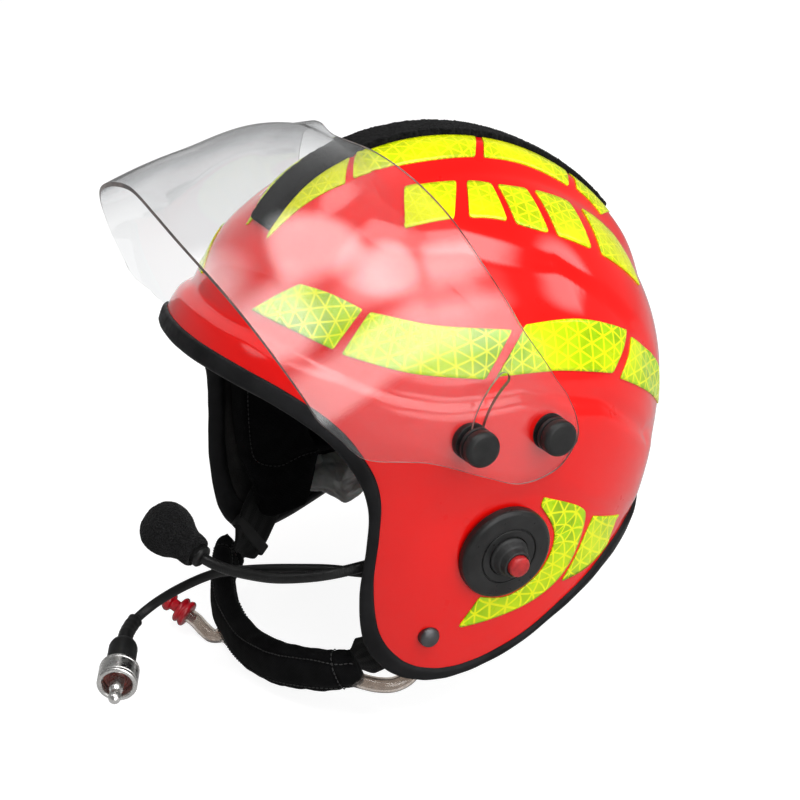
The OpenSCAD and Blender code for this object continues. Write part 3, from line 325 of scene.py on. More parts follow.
def tube_rings(p, r, n=20, u=(0, 0, 1)):
    """Rings of radius r round the points p, turned as little as may be."""
    t = unit(np.gradient(p, axis=0))
    a, rows = np.asarray(u, float), []
    for k in range(len(p)):
        a = a - (a @ t[k]) * t[k]
        a = a / np.linalg.norm(a)
        rows.append(a)
    a = np.array(rows)
    b = np.cross(t, a)
    r = np.broadcast_to(np.asarray(r, float), (len(p),))
    th = np.linspace(0, 2 * math.pi, n, endpoint=False)[None, :, None]
    return p[:, None] + r[:, None, None] * (np.cos(th) * a[:, None] + np.sin(th) * b[:, None])


def rounded(profile, r):
    """A lathe profile with its corners rounded."""
    p = [np.array(q, float) for q in profile]
    out = [p[0]]
    for a, b, c in zip(p, p[1:], p[2:]):
        la, lc = np.linalg.norm(a - b), np.linalg.norm(c - b)
        q = min(r, la * 0.45, lc * 0.45)
        s, e = b + (a - b) / max(la, 1e-9) * q, b + (c - b) / max(lc, 1e-9) * q
        out += [(1 - t) ** 2 * s + 2 * t * (1 - t) * b + t * t * e for t in (0, 0.25, 0.5, 0.75, 1)]
    return out + [p[-1]]


def axes_of(axis):
    w = unit(axis)
    u = unit(np.cross([0, 0, 1] if abs(w[2]) < 0.9 else [1, 0, 0], w))
    return u, np.cross(w, u), w


def lathe(profile, at, axis, n, closed=False):
    """Points and faces of a profile of (radius, height) turned about an axis."""
    u, v, w = axes_of(axis)
    th = np.linspace(0, 2 * math.pi, n, endpoint=False)
    ring = np.cos(th)[:, None] * u + np.sin(th)[:, None] * v
    pts, rows, faces = [], [], []
    for r, z in profile:
        centre = np.asarray(at, float) + w * z
        new = [centre] if r < 1e-6 else list(centre + ring * r)
        rows.append(list(range(len(pts), len(pts) + len(new))))
        pts += new
    m = len(rows)
    for i in range(m if closed else m - 1):
        a, b = rows[i], rows[(i + 1) % m]
        for j in range(n):
            k = (j + 1) % n
            if len(a) == 1 and len(b) > 1:
                faces.append((a[0], b[k], b[j]))
            elif len(b) == 1 and len(a) > 1:
                faces.append((a[j], a[k], b[0]))
            elif len(a) > 1:
                faces.append((a[j], a[k], b[k], b[j]))
    return np.array(pts), faces


def turned(name, profile, at, axis, skin, slot, n, r=0.5, closed=False, corner=50, **kw):
    """A lathe piece with rounded profile corners; steps over corner degrees stay crisp."""
    ob = add(name, *lathe(rounded(profile, r), at, axis, n, closed), skin, slot, **kw)
    if corner:
        flat_edges(ob, corner)
    return ob


def join_parts(parts):
    """Several (points, faces) as one."""
    vs, fs, base = [], [], 0
    for v, f in parts:
        vs.append(np.asarray(v, float))
        fs += [tuple(i + base for i in q) for q in f]
        base += len(v)
    return np.concatenate(vs), fs


# ------------------------------------------------------------- materials
def shader(tree, kind, inputs=None, **props):
    """A shader node with its inputs set or linked."""
    nd = tree.nodes.new("ShaderNode" + kind)
    for key, value in props.items():
        setattr(nd, key, value)
    for key, value in (inputs or {}).items():
        if isinstance(value, bpy.types.NodeSocket):
            tree.links.new(value, nd.inputs[key])
        else:
            nd.inputs[key].default_value = value
    return nd


def ramp(tree, fac, stops, interp="LINEAR"):
    nd = shader(tree, "ValToRGB", {"Fac": fac})
    nd.color_ramp.interpolation = interp
    e = nd.color_ramp.elements
    while len(e) < len(stops):
        e.new(0.5)
    for k, (p, c) in enumerate(stops):
        e[k].position = p
        e[k].color = (c, c, c, 1) if isinstance(c, (int, float)) else (*c, 1)
    return nd.outputs[0]


class Mat:
    """A material round one Principled shader."""

    def __init__(self, name, colour, rough, **sockets):
        self.m = bpy.data.materials.new(name)
        self.m.use_nodes = True
        self.t = self.m.node_tree
        self.t.nodes.clear()
        self.b = self.n("BsdfPrincipled", {"Base Color": (*colour, 1), "Roughness": rough})
        self.out = self.n("OutputMaterial", {0: self.b.outputs[0]})
        for key, value in sockets.items():
            self.b.inputs[key.replace("_", " ")].default_value = value
        self.coord = self.n("TexCoord").outputs
        self.m.diffuse_color = (*colour, 1)

    def n(self, kind, inputs=None, **props):
        return shader(self.t, kind, inputs, **props)

    def link(self, out, socket):
        self.t.links.new(out, self.b.inputs[socket])

    def noise(self, scale, detail=2.0, rough=0.5, distortion=0.0):
        return self.n("TexNoise", {"Vector": self.coord["Object"], "Scale": scale, "Detail": detail,
                                   "Roughness": rough, "Distortion": distortion}).outputs[0]

    def cells(self, scale):
        return self.n("TexVoronoi", {"Vector": self.coord["Object"], "Scale": scale}).outputs["Distance"]

    def ramp(self, fac, stops):
        return ramp(self.t, fac, stops)

    def math(self, op, a, b=0.5):
        return self.n("Math", {0: a, 1: b}, operation=op).outputs[0]

    def mix(self, fac, a, b):
        a, b = ((*v, 1) if isinstance(v, tuple) else v for v in (a, b))
        return self.n("Mix", {0: fac, 6: a, 7: b}, data_type="RGBA").outputs[2]

    def bump(self, height, strength, distance):
        last = self.b.inputs["Normal"].links
        below = {"Normal": last[0].from_socket} if last else {}
        nd = self.n("Bump", {"Height": height, "Strength": strength, "Distance": distance, **below})
        self.link(nd.outputs[0], "Normal")

    def tint(self, scale, a, b, detail=3.0):
        self.link(self.mix(self.ramp(self.noise(scale, detail), [(0.35, 0.0), (0.65, 1.0)]), a, b), "Base Color")

    def gloss(self, scale, a, b):
        span = {"Value": self.noise(scale, 3.0), "From Min": 0.3, "From Max": 0.7, "To Min": a, "To Max": b}
        self.link(self.n("MapRange", span).outputs[0], "Roughness")


def surface(name, colour, rough, tint, gloss=None, bumps=(), **sockets):
    """A material whose colour and roughness drift by noise.

    tint: scale, two colours, detail. gloss: scale, two roughnesses. bumps: scale, detail (None
    for cells), strength, depth in metres, and the noise's own roughness and distortion.
    """
    k = Mat(name, colour, rough, **sockets)
    k.tint(*tint)
    if gloss:
        k.gloss(*gloss)
    for scale, detail, strength, depth, *more in bumps:
        k.bump(k.cells(scale) if detail is None else k.noise(scale, detail, *more), strength, depth)
    return k.m


def moulded(name, base=0.018, rough=0.42, grain=0.22):
    return surface(name, (base, base, base * 1.03), rough, (80, (base * 0.7,) * 3, (base * 1.25,) * 3, 3.0),
                   (300, rough - 0.06, rough + 0.1), [(1100, 3.0, grain, 0.00018)], Specular_IOR_Level=0.26)


def steel(name, c, rough, brushed=0.1):
    dark, bright = tuple(x * 0.82 for x in c), tuple(min(1, x * 1.12) for x in c)
    return surface(name, c, rough, (60, dark, bright, 4.0), (500, rough - 0.08, rough + 0.14),
                   [(2200, 2.0, brushed, 0.0001)], Metallic=1.0)


def tape(name, lime, glint_yellow, line, cell, contrast):
    """Prismatic tape: a triangular grid of cells in the tape's own map, with painted glints: lighter and dimmer cells
    at random, and yellow patches.
    """
    k = Mat(name, lime, 0.34, Coat_Weight=0.25, Coat_Roughness=0.08, Specular_IOR_Level=0.25)
    sep = k.n("SeparateXYZ", {"Vector": k.coord["UV"]}).outputs
    dist, cells = None, []
    for turn in np.radians((0, 60, 120)):
        proj = k.math("ADD", k.math("MULTIPLY", sep[0], math.cos(turn) / cell),
                      k.math("MULTIPLY", sep[1], math.sin(turn) / cell))
        near = k.math("SUBTRACT", 0.5, k.math("ABSOLUTE", k.math("SUBTRACT", k.math("FRACT", proj), 0.5)))
        dist = near if dist is None else k.math("MINIMUM", dist, near)
        cells.append(k.math("FLOOR", proj))
    comb = k.n("CombineXYZ", dict(enumerate(cells))).outputs[0]
    # painted glints: each prism cell is a lighter or dimmer lime at random, as if the prisms catch the light unevenly
    cell_glint = k.n("TexWhiteNoise", {"Vector": comb}, noise_dimensions="3D").outputs[0]
    dim = tuple(c * (1 - 0.28 * contrast) for c in lime)
    face = k.mix(k.ramp(cell_glint, [(0.15, 0.0), (0.85, 1.0)]), dim, lime)
    # painted highlights: yellow patches by noise, where the tape seems to catch the light
    face = k.mix(k.ramp(k.noise(26, 2.0), [(0.42, 0.0), (0.66, 1.0)]), face, glint_yellow)
    col = k.mix(k.ramp(dist, [(0.045, 1.0), (0.095, 0.0)]), face, line)
    k.link(col, "Base Color")
    # painted glow: the tape's colour is also emitted a little, so it shines without a lamp
    k.link(col, "Emission Color")
    k.b.inputs["Emission Strength"].default_value = 0.06
    k.bump(k.ramp(dist, [(0.03, 1.0), (0.12, 0.0)]), 0.12, 0.0002)
    k.bump(k.noise(60, 2.0), 0.06, 0.0006)
    k.gloss(90, 0.2, 0.36)
    return k.m


def clear_visor():
    k = Mat("visor_clear", (0.93, 0.935, 0.94), 0.0, Transmission_Weight=1.0, IOR=1.45, Specular_IOR_Level=0.5)
    k.gloss(40, 0.0, 0.025)
    edge_on = k.n("LayerWeight", {"Blend": 0.5}).outputs["Facing"]
    clear = k.ramp(edge_on, [(0.0, (0.88, 0.885, 0.89)), (0.5, (0.86, 0.865, 0.87)), (0.76, (0.58, 0.59, 0.6)),
                             (0.93, (0.16, 0.165, 0.17))])
    dust = k.ramp(k.noise(260, 1.0), [(0.74, 0.0), (0.8, 0.12)])
    k.link(k.mix(dust, clear, (0.7, 0.7, 0.7)), "Base Color")
    k.bump(k.noise(11, 2.0), 0.12, 0.0012)
    # shadow rays pass, so that what lies behind the visor is lit
    passes = k.n("BsdfTransparent", {"Color": (0.9, 0.9, 0.9, 1)}).outputs[0]
    either = k.n("MixShader", {0: k.n("LightPath").outputs["Is Shadow Ray"], 1: k.b.outputs[0], 2: passes})
    k.t.links.new(either.outputs[0], k.out.inputs[0])
    return k.m


def fabric(name, a, b, scale, sheen):
    """A knitted face: two crossed waves, broken up a little."""
    k = Mat(name, a, 0.9, Sheen_Weight=sheen, Sheen_Roughness=0.45, Specular_IOR_Level=0.08)
    span = {"Vector": k.coord["Object"], "Scale": scale / 6.3, "Distortion": 1.2, "Detail": 1.0}
    w1, w2 = (k.n("TexWave", span, wave_type="BANDS", bands_direction=way).outputs[1] for way in ("Z", "DIAGONAL"))
    k.link(k.mix(k.ramp(k.noise(90, 4.0), [(0.35, 0.0), (0.7, 1.0)]), a, b), "Base Color")
    k.bump(k.math("MULTIPLY", w1, w2), 0.5, 0.0003)
    k.bump(k.noise(350, 3.0), 0.25, 0.0004)
    return k.m


def foam_screen():
    k = Mat("foam_screen", (0.01, 0.01, 0.0105), 0.96, Sheen_Weight=0.06, Specular_IOR_Level=0.06)
    v = k.cells(1100)
    # painted shade: the colour follows the cells like the bump, darkest in the sunk middles of the pores
    k.link(k.mix(k.ramp(v, [(0.15, 0.0), (0.6, 1.0)]), (0.0012, 0.0012, 0.0012), (0.013, 0.013, 0.0135)),
           "Base Color")
    k.bump(v, 0.9, 0.0007)
    k.bump(k.noise(500, 3.0), 0.5, 0.0006)
    return k.m


def weave(name, base, pitch=0.0011):
    """Flat woven webbing: a herringbone in the band's own map."""
    k = Mat(name, (base,) * 3, 0.82, Sheen_Weight=0.12, Sheen_Roughness=0.5, Specular_IOR_Level=0.2)
    sep = k.n("SeparateXYZ", {"Vector": k.coord["UV"]}).outputs
    fold = k.math("MULTIPLY", k.math("PINGPONG", sep[1], 0.0031), 1.6)
    wave = k.math("SINE", k.math("MULTIPLY", k.math("ADD", sep[0], fold), 6.283 / pitch))
    across = k.math("SINE", k.math("MULTIPLY", sep[1], 6.283 / 0.0008))
    h = k.math("ADD", wave, k.math("MULTIPLY", across, 0.5))
    # painted shade and light: the colour follows the weave's height, darker in its hollows and lighter on its raised
    # threads
    dark = k.ramp(k.math("ADD", k.math("MULTIPLY", h, 0.3), 0.5), [(0.1, base * 0.5), (0.9, base * 1.5)])
    k.link(dark, "Base Color")
    k.bump(h, 0.6, 0.0003)
    k.bump(k.noise(500, 3.0), 0.2, 0.0003)
    return k.m


RED = surface("red_gelcoat", (0.78, 0.004, 0.003), 0.35, (9, (0.75, 0.003, 0.002), (0.82, 0.006, 0.004), 2.0),
              (60, 0.27, 0.36), [(420, 2.0, 0.035, 0.0003), (28, 2.0, 0.05, 0.0008)],
              Coat_Weight=0.9, Coat_Roughness=0.045, Coat_IOR=1.52, Specular_IOR_Level=0.06)
INNER = surface("shell_inner", (0.03, 0.03, 0.03), 0.7, (60, (0.02, 0.02, 0.02), (0.045, 0.043, 0.042), 4.0),
                bumps=[(900, None, 0.3, 0.0003)], Specular_IOR_Level=0.2)
RUBBER = surface("trim_rubber", (0.028, 0.028, 0.03), 0.6, (35, (0.006, 0.006, 0.0065), (0.015, 0.015, 0.016), 4.0),
                 (200, 0.42, 0.6), [(900, 3.0, 0.12, 0.0002)], Specular_IOR_Level=0.1)
# tape_top is a lighter, more yellow copy of tape_side: painted light for the crest and panel tapes, which face the
# lamps overhead
TAPE_SIDE = tape("tape_side", (0.34, 0.6, 0.0), (0.56, 0.72, 0.0), (0.76, 0.8, 0.004), 0.0069, 1.0)
TAPE_TOP = tape("tape_top", (0.48, 0.63, 0.0), (0.68, 0.71, 0.0), (0.76, 0.78, 0.006), 0.0062, 0.8)
FUZZ = surface("loop_fuzz", (0.006, 0.006, 0.0065), 0.95, (700, (0.001, 0.001, 0.001), (0.009, 0.009, 0.0095), 3.0),
               bumps=[(1500, 4.0, 0.9, 0.0006, 0.7)],
               Sheen_Weight=0.05, Sheen_Roughness=0.5, Specular_IOR_Level=0.05)
VISOR = clear_visor()
VISOR_EDGE = surface("visor_edge", (0.5, 0.4, 0.36), 0.3, (120, (0.09, 0.068, 0.062), (0.26, 0.185, 0.165), 2.0),
                     bumps=[(1400, 2.0, 0.2, 0.0002)], Coat_Weight=0.3, Transmission_Weight=0.15)
KNOB = moulded("knob_plastic", 0.014, 0.4, 0.2)
POD_BLACK = moulded("pod_black", 0.016, 0.33, 0.25)
HUB = moulded("hub_plastic", 0.026, 0.45, 0.3)
BUTTON = surface("button_red", (0.42, 0.012, 0.014), 0.42, (300, (0.34, 0.01, 0.012), (0.5, 0.02, 0.02), 2.0),
                 bumps=[(1500, 3.0, 0.3, 0.0002)])
RIVET = steel("rivet_grey", (0.12, 0.12, 0.125), 0.42)
STEEL = steel("plain_steel", (0.55, 0.55, 0.56), 0.32)
NICKEL = steel("plug_nickel", (0.76, 0.75, 0.73), 0.26, 0.06)
BRASS = steel("insert_brass", (0.72, 0.5, 0.22), 0.35)
LINING = fabric("lining_cloth", (0.002, 0.002, 0.0022), (0.006, 0.006, 0.0065), 1700, 0.03)
NEOPRENE = fabric("strap_neoprene", (0.0018, 0.0018, 0.002), (0.0055, 0.0055, 0.006), 2400, 0.02)
VINYL = moulded("cushion_vinyl", 0.022, 0.5, 0.5)
FOAM = foam_screen()
LINER = surface("impact_foam", (0.02, 0.02, 0.021), 0.8, (400, (0.012, 0.012, 0.0125), (0.026, 0.026, 0.027), 2.0),
                bumps=[(330, None, 0.5, 0.0006)], Specular_IOR_Level=0.2)
FILM = surface("bladder_film", (0.3, 0.31, 0.3), 0.24, (25, (0.42, 0.42, 0.41), (0.62, 0.62, 0.6), 3.0),
               (40, 0.12, 0.34), [(70, 4.0, 0.5, 0.002, 0.6, 1.0)],
               Coat_Weight=0.5, Coat_Roughness=0.1, Transmission_Weight=0.3, Subsurface_Weight=0.15, IOR=1.45)
HOSE = surface("clear_hose", (0.5, 0.43, 0.38), 0.08, (90, (0.44, 0.37, 0.32), (0.6, 0.54, 0.49), 2.0),
               bumps=[(120, 2.0, 0.08, 0.0003)], Transmission_Weight=0.88, IOR=1.4, Coat_Weight=0.2)
VALVE = surface("valve_red", (0.6, 0.01, 0.02), 0.24, (150, (0.54, 0.006, 0.016), (0.72, 0.015, 0.03), 2.0),
                bumps=[(700, 2.0, 0.08, 0.0002)], Transmission_Weight=0.12, Subsurface_Weight=0.25, IOR=1.45,
                Coat_Weight=0.5, Subsurface_Radius=(0.004, 0.001, 0.001))
MAROON = surface("plug_insulator", (0.16, 0.03, 0.022), 0.35, (300, (0.12, 0.022, 0.016), (0.22, 0.045, 0.03), 2.0),
                 bumps=[(900, 2.0, 0.15, 0.0002)], Coat_Weight=0.4)
BOOM = moulded("boom_rubber", 0.010, 0.38, 0.15)
THREAD = moulded("seam_thread", 0.03, 0.7, 0.3)
CABLE_BLACK = moulded("cable_jacket", 0.007, 0.44, 0.2)
WEAVE = weave("strap_weave", 0.005)

# --------------------------------------------------------------- camera
AZ, EL, DIST = 62.5, 22.0, 1.2
TARGET = Vector((0, -0.005, -0.107))
cam_data = bpy.data.cameras.new("camera")
cam_data.lens = 101.7
cam_data.sensor_width = 36
cam = bpy.data.objects.new("camera", cam_data)
SCENE.collection.objects.link(cam)
cam.location = TARGET + DIST * Vector(facing(AZ, EL))
cam.rotation_euler = (TARGET - cam.location).to_track_quat("-Z", "Y").to_euler()
SCENE.camera = cam

# ------------------------------------------------------- the comms cable
PLUG_BACK = np.array([13.5, -171, -112.8])
PLUG_AXIS = unit([0.87, -0.46, -0.17])
CABLE = [
    (80.5, -50, -69.8), (80.3, -58, -69), (78, -67, -67.5), (70, -81, -66), (60, -92, -67.5), (46, -104, -71),
    (30, -112, -77), (16, -118, -83), (8, -123.5, -88), (3, -130, -92.5), (-2.5, -136.5, -98),
    (-6.5, -143.5, -103.5), (-7.8, -150, -107.8), (-5, -157, -110.3), (0.5, -163, -111.6), (7, -167.6, -111.9),
]
CABLE_R, SHRINK_R, BARREL_R, RING_R, PIN_R = 2.5, 3.9, 7.4, 10.2, 3.5
SHRINK_FROM, RING_START, CORE_START = 130, 17.05, 22.1
cable_fine = np.concatenate([catmull(CABLE, 151), [PLUG_BACK, PLUG_BACK + PLUG_AXIS * 3]])
cable = loft("comms_cable", tube_rings(cable_fine, CABLE_R), CABLE_BLACK, "black_rubber")
shrink_path = cable_fine[SHRINK_FROM:]
ns = len(shrink_path)
shrink_r = SHRINK_R + 0.12 * np.sin(np.linspace(0, 26, ns)) * np.linspace(1, 0.2, ns)
shrink_r[0] = CABLE_R + 0.25
shrink = loft("shrink_sleeve", tube_rings(shrink_path, shrink_r, 24), CABLE_BLACK, "black_rubber")


def plug_part(name, profile, start, skin, slot, r, n=64):
    return turned(name, profile, PLUG_BACK + PLUG_AXIS * start, PLUG_AXIS, skin, slot, n, r, corner=None)


barrel = plug_part("plug_barrel", [(3.5, 0), (BARREL_R * 0.74, 0), (BARREL_R * 0.9, 1.2), (BARREL_R, 3.6),
                                   (BARREL_R, 17), (0, 17)], 0, CABLE_BLACK, "black_plastic", 0.5)
ring_inset = [(0, 3.4), (0, 4.6), (0.35, 4.8), (0.35, 5.3), (0, 5.5), (0, 13.4), (0.3, 13.6), (0.3, 14), (0, 14.2),
              (0, 15.4), (0.6, 16), (1.8, 16.2), (2.4, 15.6), (2.8, 14), (2.8, 5)]
ring = plug_part("plug_ring", [(0, 0), (BARREL_R, 0), (BARREL_R + 0.8, 1)] + [(RING_R - q, z) for q, z in ring_inset]
                 + [(0, 5)], RING_START, NICKEL, "plug_metal", 0.3, 96)
insulator = plug_part("plug_insulator", [(0, 0), (RING_R - 2.9, 0), (RING_R - 2.9, 6), (5.6, 6), (5.4, 5.4),
                                         (4.4, 5.4), (4.2, 6.2), (0, 6.2)], CORE_START, MAROON, "plug_maroon", 0.3)
pin_share = [(0, 0), (1, 0), (1, 14.6), (0.72, 16.2), (0.66, 17.2), (0.9, 18.6), (0.96, 20.4), (0.78, 22.6),
             (0.3, 24), (0, 24.1)]
pin = plug_part("plug_pin", [(PIN_R * q, z) for q, z in pin_share], CORE_START, NICKEL, "plug_metal", 0.8)

# ---------------------------------------------------------------- shell
NCOL = 336
rim = edge_dirs(RIM_LEFT, NCOL)
lip = lip_dirs(rim)
shares = np.concatenate([np.linspace(0.01, 0.9, 108), np.linspace(0.9, 1, 18)[1:]])
outer = [on_shell(from_pole(lip, v)) for v in shares] + [on_shell(rim)]
inner = [on_wall(rim)] + [on_wall(from_pole(lip, v)) for v in np.linspace(1, 0.04, 40)]
rings = np.array(outer + inner)
faces = grid_faces(len(rings), NCOL)
skins = [0 if k // NCOL < len(outer) else 1 for k in range(len(faces))] + [0] * NCOL + [1] * NCOL
add("shell", np.concatenate([rings.reshape(-1, 3), on_shell(POLE)[None], on_wall(POLE)[None]]),
    faces + fan_faces(len(rings), NCOL), [RED, INNER], "shell_red", face_skin=skins)

# ----------------------------------------------------------- edge trim
GAP, LIP, BEAD = 0.3, 2.0, 2.6
NT = 480


def trim_section(e, near):
    """The trim's open section, from the shell's outer face over the rim to its inner face."""
    a1, a0, b1, b0 = on_shell(e), on_shell(near), on_wall(e), on_wall(near)
    out, n = unit(a1 - a0), unit(a1 - b1)
    c = [a0 + n * 0.05, a0 + n * (GAP + 0.55 * LIP), a0 * 0.88 + a1 * 0.12 + n * (GAP + 0.88 * LIP),
         a0 * 0.7 + a1 * 0.3 + n * (GAP + LIP), a0 * 0.3 + a1 * 0.7 + n * (GAP + LIP * 1.03),
         a1 + n * (GAP + LIP * 0.98) + out * 0.25 * BEAD, a1 + n * 0.75 * LIP + out * 0.66 * BEAD,
         a1 + n * 0.3 * LIP + out * 0.95 * BEAD, (a1 + b1) / 2 + out * BEAD,
         b1 - n * 0.3 * LIP + out * 0.95 * BEAD, b1 - n * 0.75 * LIP + out * 0.66 * BEAD,
         b1 - n * (GAP + LIP * 0.98) + out * 0.25 * BEAD, b0 * 0.3 + b1 * 0.7 - n * (GAP + LIP),
         b0 * 0.8 + b1 * 0.2 - n * (GAP + LIP * 0.95), b0 - n * (GAP + 0.6 * LIP), b0 - n * 0.05]
    return np.stack(c, 1)


rim_t = edge_dirs(RIM_LEFT, NT)
sec = trim_section(rim_t, lip_dirs(rim_t))
once = np.arange(NT) * 2 * math.pi / NT
sec = sec + (0.14 * np.sin(once * 41) * np.sin(once * 17))[:, None, None] * unit(sec.mean(1))[:, None]
add("edge_trim", sec.reshape(-1, 3), grid_faces(NT, 16, False, True), RUBBER, "edge_rubber")

# ------------------------------------------------------------- tapes
TAPE_LIFT, TAPE_T = 0.35, 0.35
# each tape: its upper and its lower edge
CREST = [
    ([[11.5, -88, 97], [11, -62, 117], [11, -39, 126]], [[13, -90, 95.5], [20.5, -67, 110], [25, -48.5, 118.5]]),
    ([[11, -36, 127], [11, 0, 132], [11, 32, 127]], [[25, -44, 120], [28, -10, 125], [28, 23, 123]]),
    ([[11, 36, 126], [11, 60, 118], [11, 84, 104]], [[28, 28, 122], [28, 52, 115], [29, 78, 100]]),
    ([[11, 88, 100], [11, 99, 88], [11, 110, 72]], [[27, 85, 98], [28, 92, 90], [30, 98, 82]]),
]
SIDE = [
    ([[49.3, -85.3, 78.8], [63.5, -76, 77], [77.3, -65.5, 71.6]],
     [[31.2, -103.4, 62.9], [57.4, -93.7, 59.1], [77.5, -81.7, 53.9]]),
    ([[79.9, -62.9, 70.6], [95.3, -35.7, 64.3], [102.7, 2.4, 58]],
     [[81.2, -78.9, 52.2], [100.2, -52, 44.5], [110, -16.5, 38.3]]),
    ([[101.9, 10.8, 59.1], [98.6, 42.9, 55.6], [88.6, 78.2, 40.5]],
     [[110.3, -10.5, 38.5], [110.2, 23.6, 35.6], [104, 60.7, 25.5]]),
    ([[88, 81, 36], [81, 96, 24], [72, 109, 10]], [[102, 66, 21], [88, 92, 4], [67, 113, -14]]),
]
EAR = [
    ([[116, 17, -30], [110, 45, -46], [104, 34, -68], [106, 14, -83], [106, -28, -92]],
     [[115, 15, -34], [113, 24, -52], [112, 17, -70], [111, -1, -80], [110, -18, -77]]),
    ([[106, 52, -51], [101, 64, -56], [94, 75, -60]], [[107, 31, -80], [103, 49, -79], [97, 67, -75]]),
]
PANEL_TOP = [[37, -34, 114], [42, 8, 116], [45, 30, 110], [44, 62, 100], [36, 103, 70]]
PANEL_LOW = [[59, -36, 101], [64, 7, 103], [70, 36, 94], [70, 70, 78], [56, 112, 40]]


def patch(upper, lower, nu, nv, corner):
    """A tape with rounded corners between two edges on the shell, and its map in metres."""
    su = np.linspace(0, 1, 200)
    fine = catmull(upper, 200), catmull(lower, 200)
    length = steps(on_shell(unit((fine[0] + fine[1]) / 2))).sum()
    s = 0.35 * (1 - np.cos(np.linspace(0, math.pi, nu))) / 2 + 0.65 * np.linspace(0, 1, nu)
    top, low = (interp3(s, su, q) for q in fine)
    wide = np.linalg.norm(on_shell(unit(top)) - on_shell(unit(low)), axis=1)
    edge = np.clip(1 - np.minimum(s, 1 - s) / (corner / length), 0, 1)
    pull = (corner / np.maximum(wide, 9) * (1 - np.sqrt(1 - edge**2)))[:, None]
    q = (pull + (1 - 2 * pull) * np.linspace(0, 1, nv)[None, :])[..., None]
    d = unit(top[:, None] * (1 - q) + low[:, None] * q)
    v = np.concatenate([on_shell(d, TAPE_LIFT + TAPE_T), on_shell(d, TAPE_LIFT - 0.4)[:, ::-1]], 1)
    # the map runs along and across the middle line
    mid = unit((top + low) / 2)
    line = on_shell(mid)
    t_dir = unit(np.gradient(line, axis=0))
    off = on_shell(d) - line[:, None]
    far = s[:, None] * length + (off * t_dir[:, None]).sum(-1)
    uv = np.stack([far, (off * np.cross(mid, t_dir)[:, None]).sum(-1)], -1) / 1000
    uv = np.concatenate([uv, uv[:, ::-1]], 1)
    return v.reshape(-1, 3), grid_faces(nu, 2 * nv) + end_faces(nu, 2 * nv), uv.reshape(-1, 2)


def patches(name, lists, skin, corner, nu=34, nv=12, shift=0.0):
    parts, maps = [], []
    for k, (up, low) in enumerate(lists):
        v, f, uv = patch(up, low, nu, nv, corner)
        for side in (1, -1):
            parts.append((v, f) if side > 0 else (mirror(v), [q[::-1] for q in f]))
            maps.append(uv + np.array([0.0131 * k + shift, 0.0077 * k + 0.003 * side]))
    return add(name, *join_parts(parts), skin, "tape_lime", uv=np.concatenate(maps))


patches("crest_tapes", CREST, TAPE_TOP, 0.9)
patches("side_tapes", SIDE, TAPE_SIDE, 1.1, 40, 16)
patches("ear_tapes", EAR, TAPE_SIDE, 1.0, 48, 14, shift=0.004)
BARS, BAR_EDGE, BAR_LEAN = 5, 0.11, 0.06
bars = []
for i in range(BARS):
    a, b = (i + BAR_EDGE) / BARS, (i + 1 - BAR_EDGE) / BARS
    u = (1 - BAR_LEAN) * (a + (b - a) * np.linspace(0, 1, 5))
    bars.append([catmull_at(p, (u + lean) * 4) for p, lean in ((PANEL_TOP, BAR_LEAN), (PANEL_LOW, 0))])
patches("panel_tapes", bars, TAPE_TOP, 2.2, 34, 14)

# --------------------------------------------- hook and loop strip
STRIP_FRONT, STRIP_REAR, STRIP_HALF_W = -41.5, 55, 10.2
PILE_EDGE, PILE_RISE, PILE_RAG, PILE_NOISE = 0.6, 2.9, 0.24, 0.2
rnd = np.random.default_rng(5)
na, nx = 330, 36
xs = np.linspace(-1, 1, nx)
rag = np.cumsum(rnd.normal(0, 1, (2, na)), 1)
rag = rag - np.stack([np.convolve(np.pad(r, 12, "edge"), np.ones(25) / 25, "valid") for r in rag])
rag = np.clip(rag, -3, 3) * PILE_RAG
edge = np.minimum(1, (1 - np.abs(xs)) / 0.16)
pile = PILE_EDGE + PILE_RISE * np.sqrt(np.clip(edge * (2 - edge), 0, 1))
rows = []
for k, a in enumerate(np.radians(np.linspace(STRIP_FRONT, STRIP_REAR, na))):
    half = STRIP_HALF_W + np.where(xs < 0, rag[0, k], rag[1, k])
    d = unit(np.stack([xs * half, np.full(nx, math.sin(a) * FRONT), np.full(nx, math.cos(a) * FRONT)], -1))
    h = pile * (0.72 if k in (0, na - 1) else 1) + rnd.normal(0, PILE_NOISE, nx) * edge
    rows.append(np.concatenate([on_shell(d, h), on_shell(d)[::-1]]))
loft("hook_loop_strip", rows, FUZZ, "fuzzy_strip")

# ------------------------------------------------------------- visor
PIV_Y, PIV_Z, LOCK_R, LOCK_A, SLOT_SWEEP, SLOT_HALF = 15.8, 7.8, 43.2, 3.6, 47.0, 3.15
VISOR_HALF_W, VISOR_RISE, VISOR_T, VISOR_FOOT = 121.5, 128.0, 2.2, 14
# where the two long edges run: across, back and up, for the trailing and then the leading edge
VISOR_EDGES = [
    (0, -57.8, 1, 0, -166.6, 0.886), (0.247, -50.8, 0.977, 0.247, -165.9, 0.862),
    (0.469, -44.8, 0.93, 0.469, -161.8, 0.786), (0.691, -36.8, 0.809, 0.691, -152.6, 0.655),
    (0.831, -29.8, 0.672, 0.856, -140.3, 0.468), (0.914, -21.8, 0.54, 0.947, -129.4, 0.306),
    (0.955, -14.8, 0.423, 0.988, -124.1, 0.228), (0.988, -3.8, 0.29, 1, -114.8, 0.15),
    (1, 2.2, 0.212, 1, -100.8, 0.048), (1, 7.2, 0.158, 1, -67.8, -0.018), (1, 10.2, 0.111, 1, -37.3, -0.123),
    (1, 12.7, 0.068, 1, -16.8, -0.182), (1, 14.2, 0.025, 1, 3.2, -0.151), (1, 15, -0.014, 1, 14.2, -0.053),
]


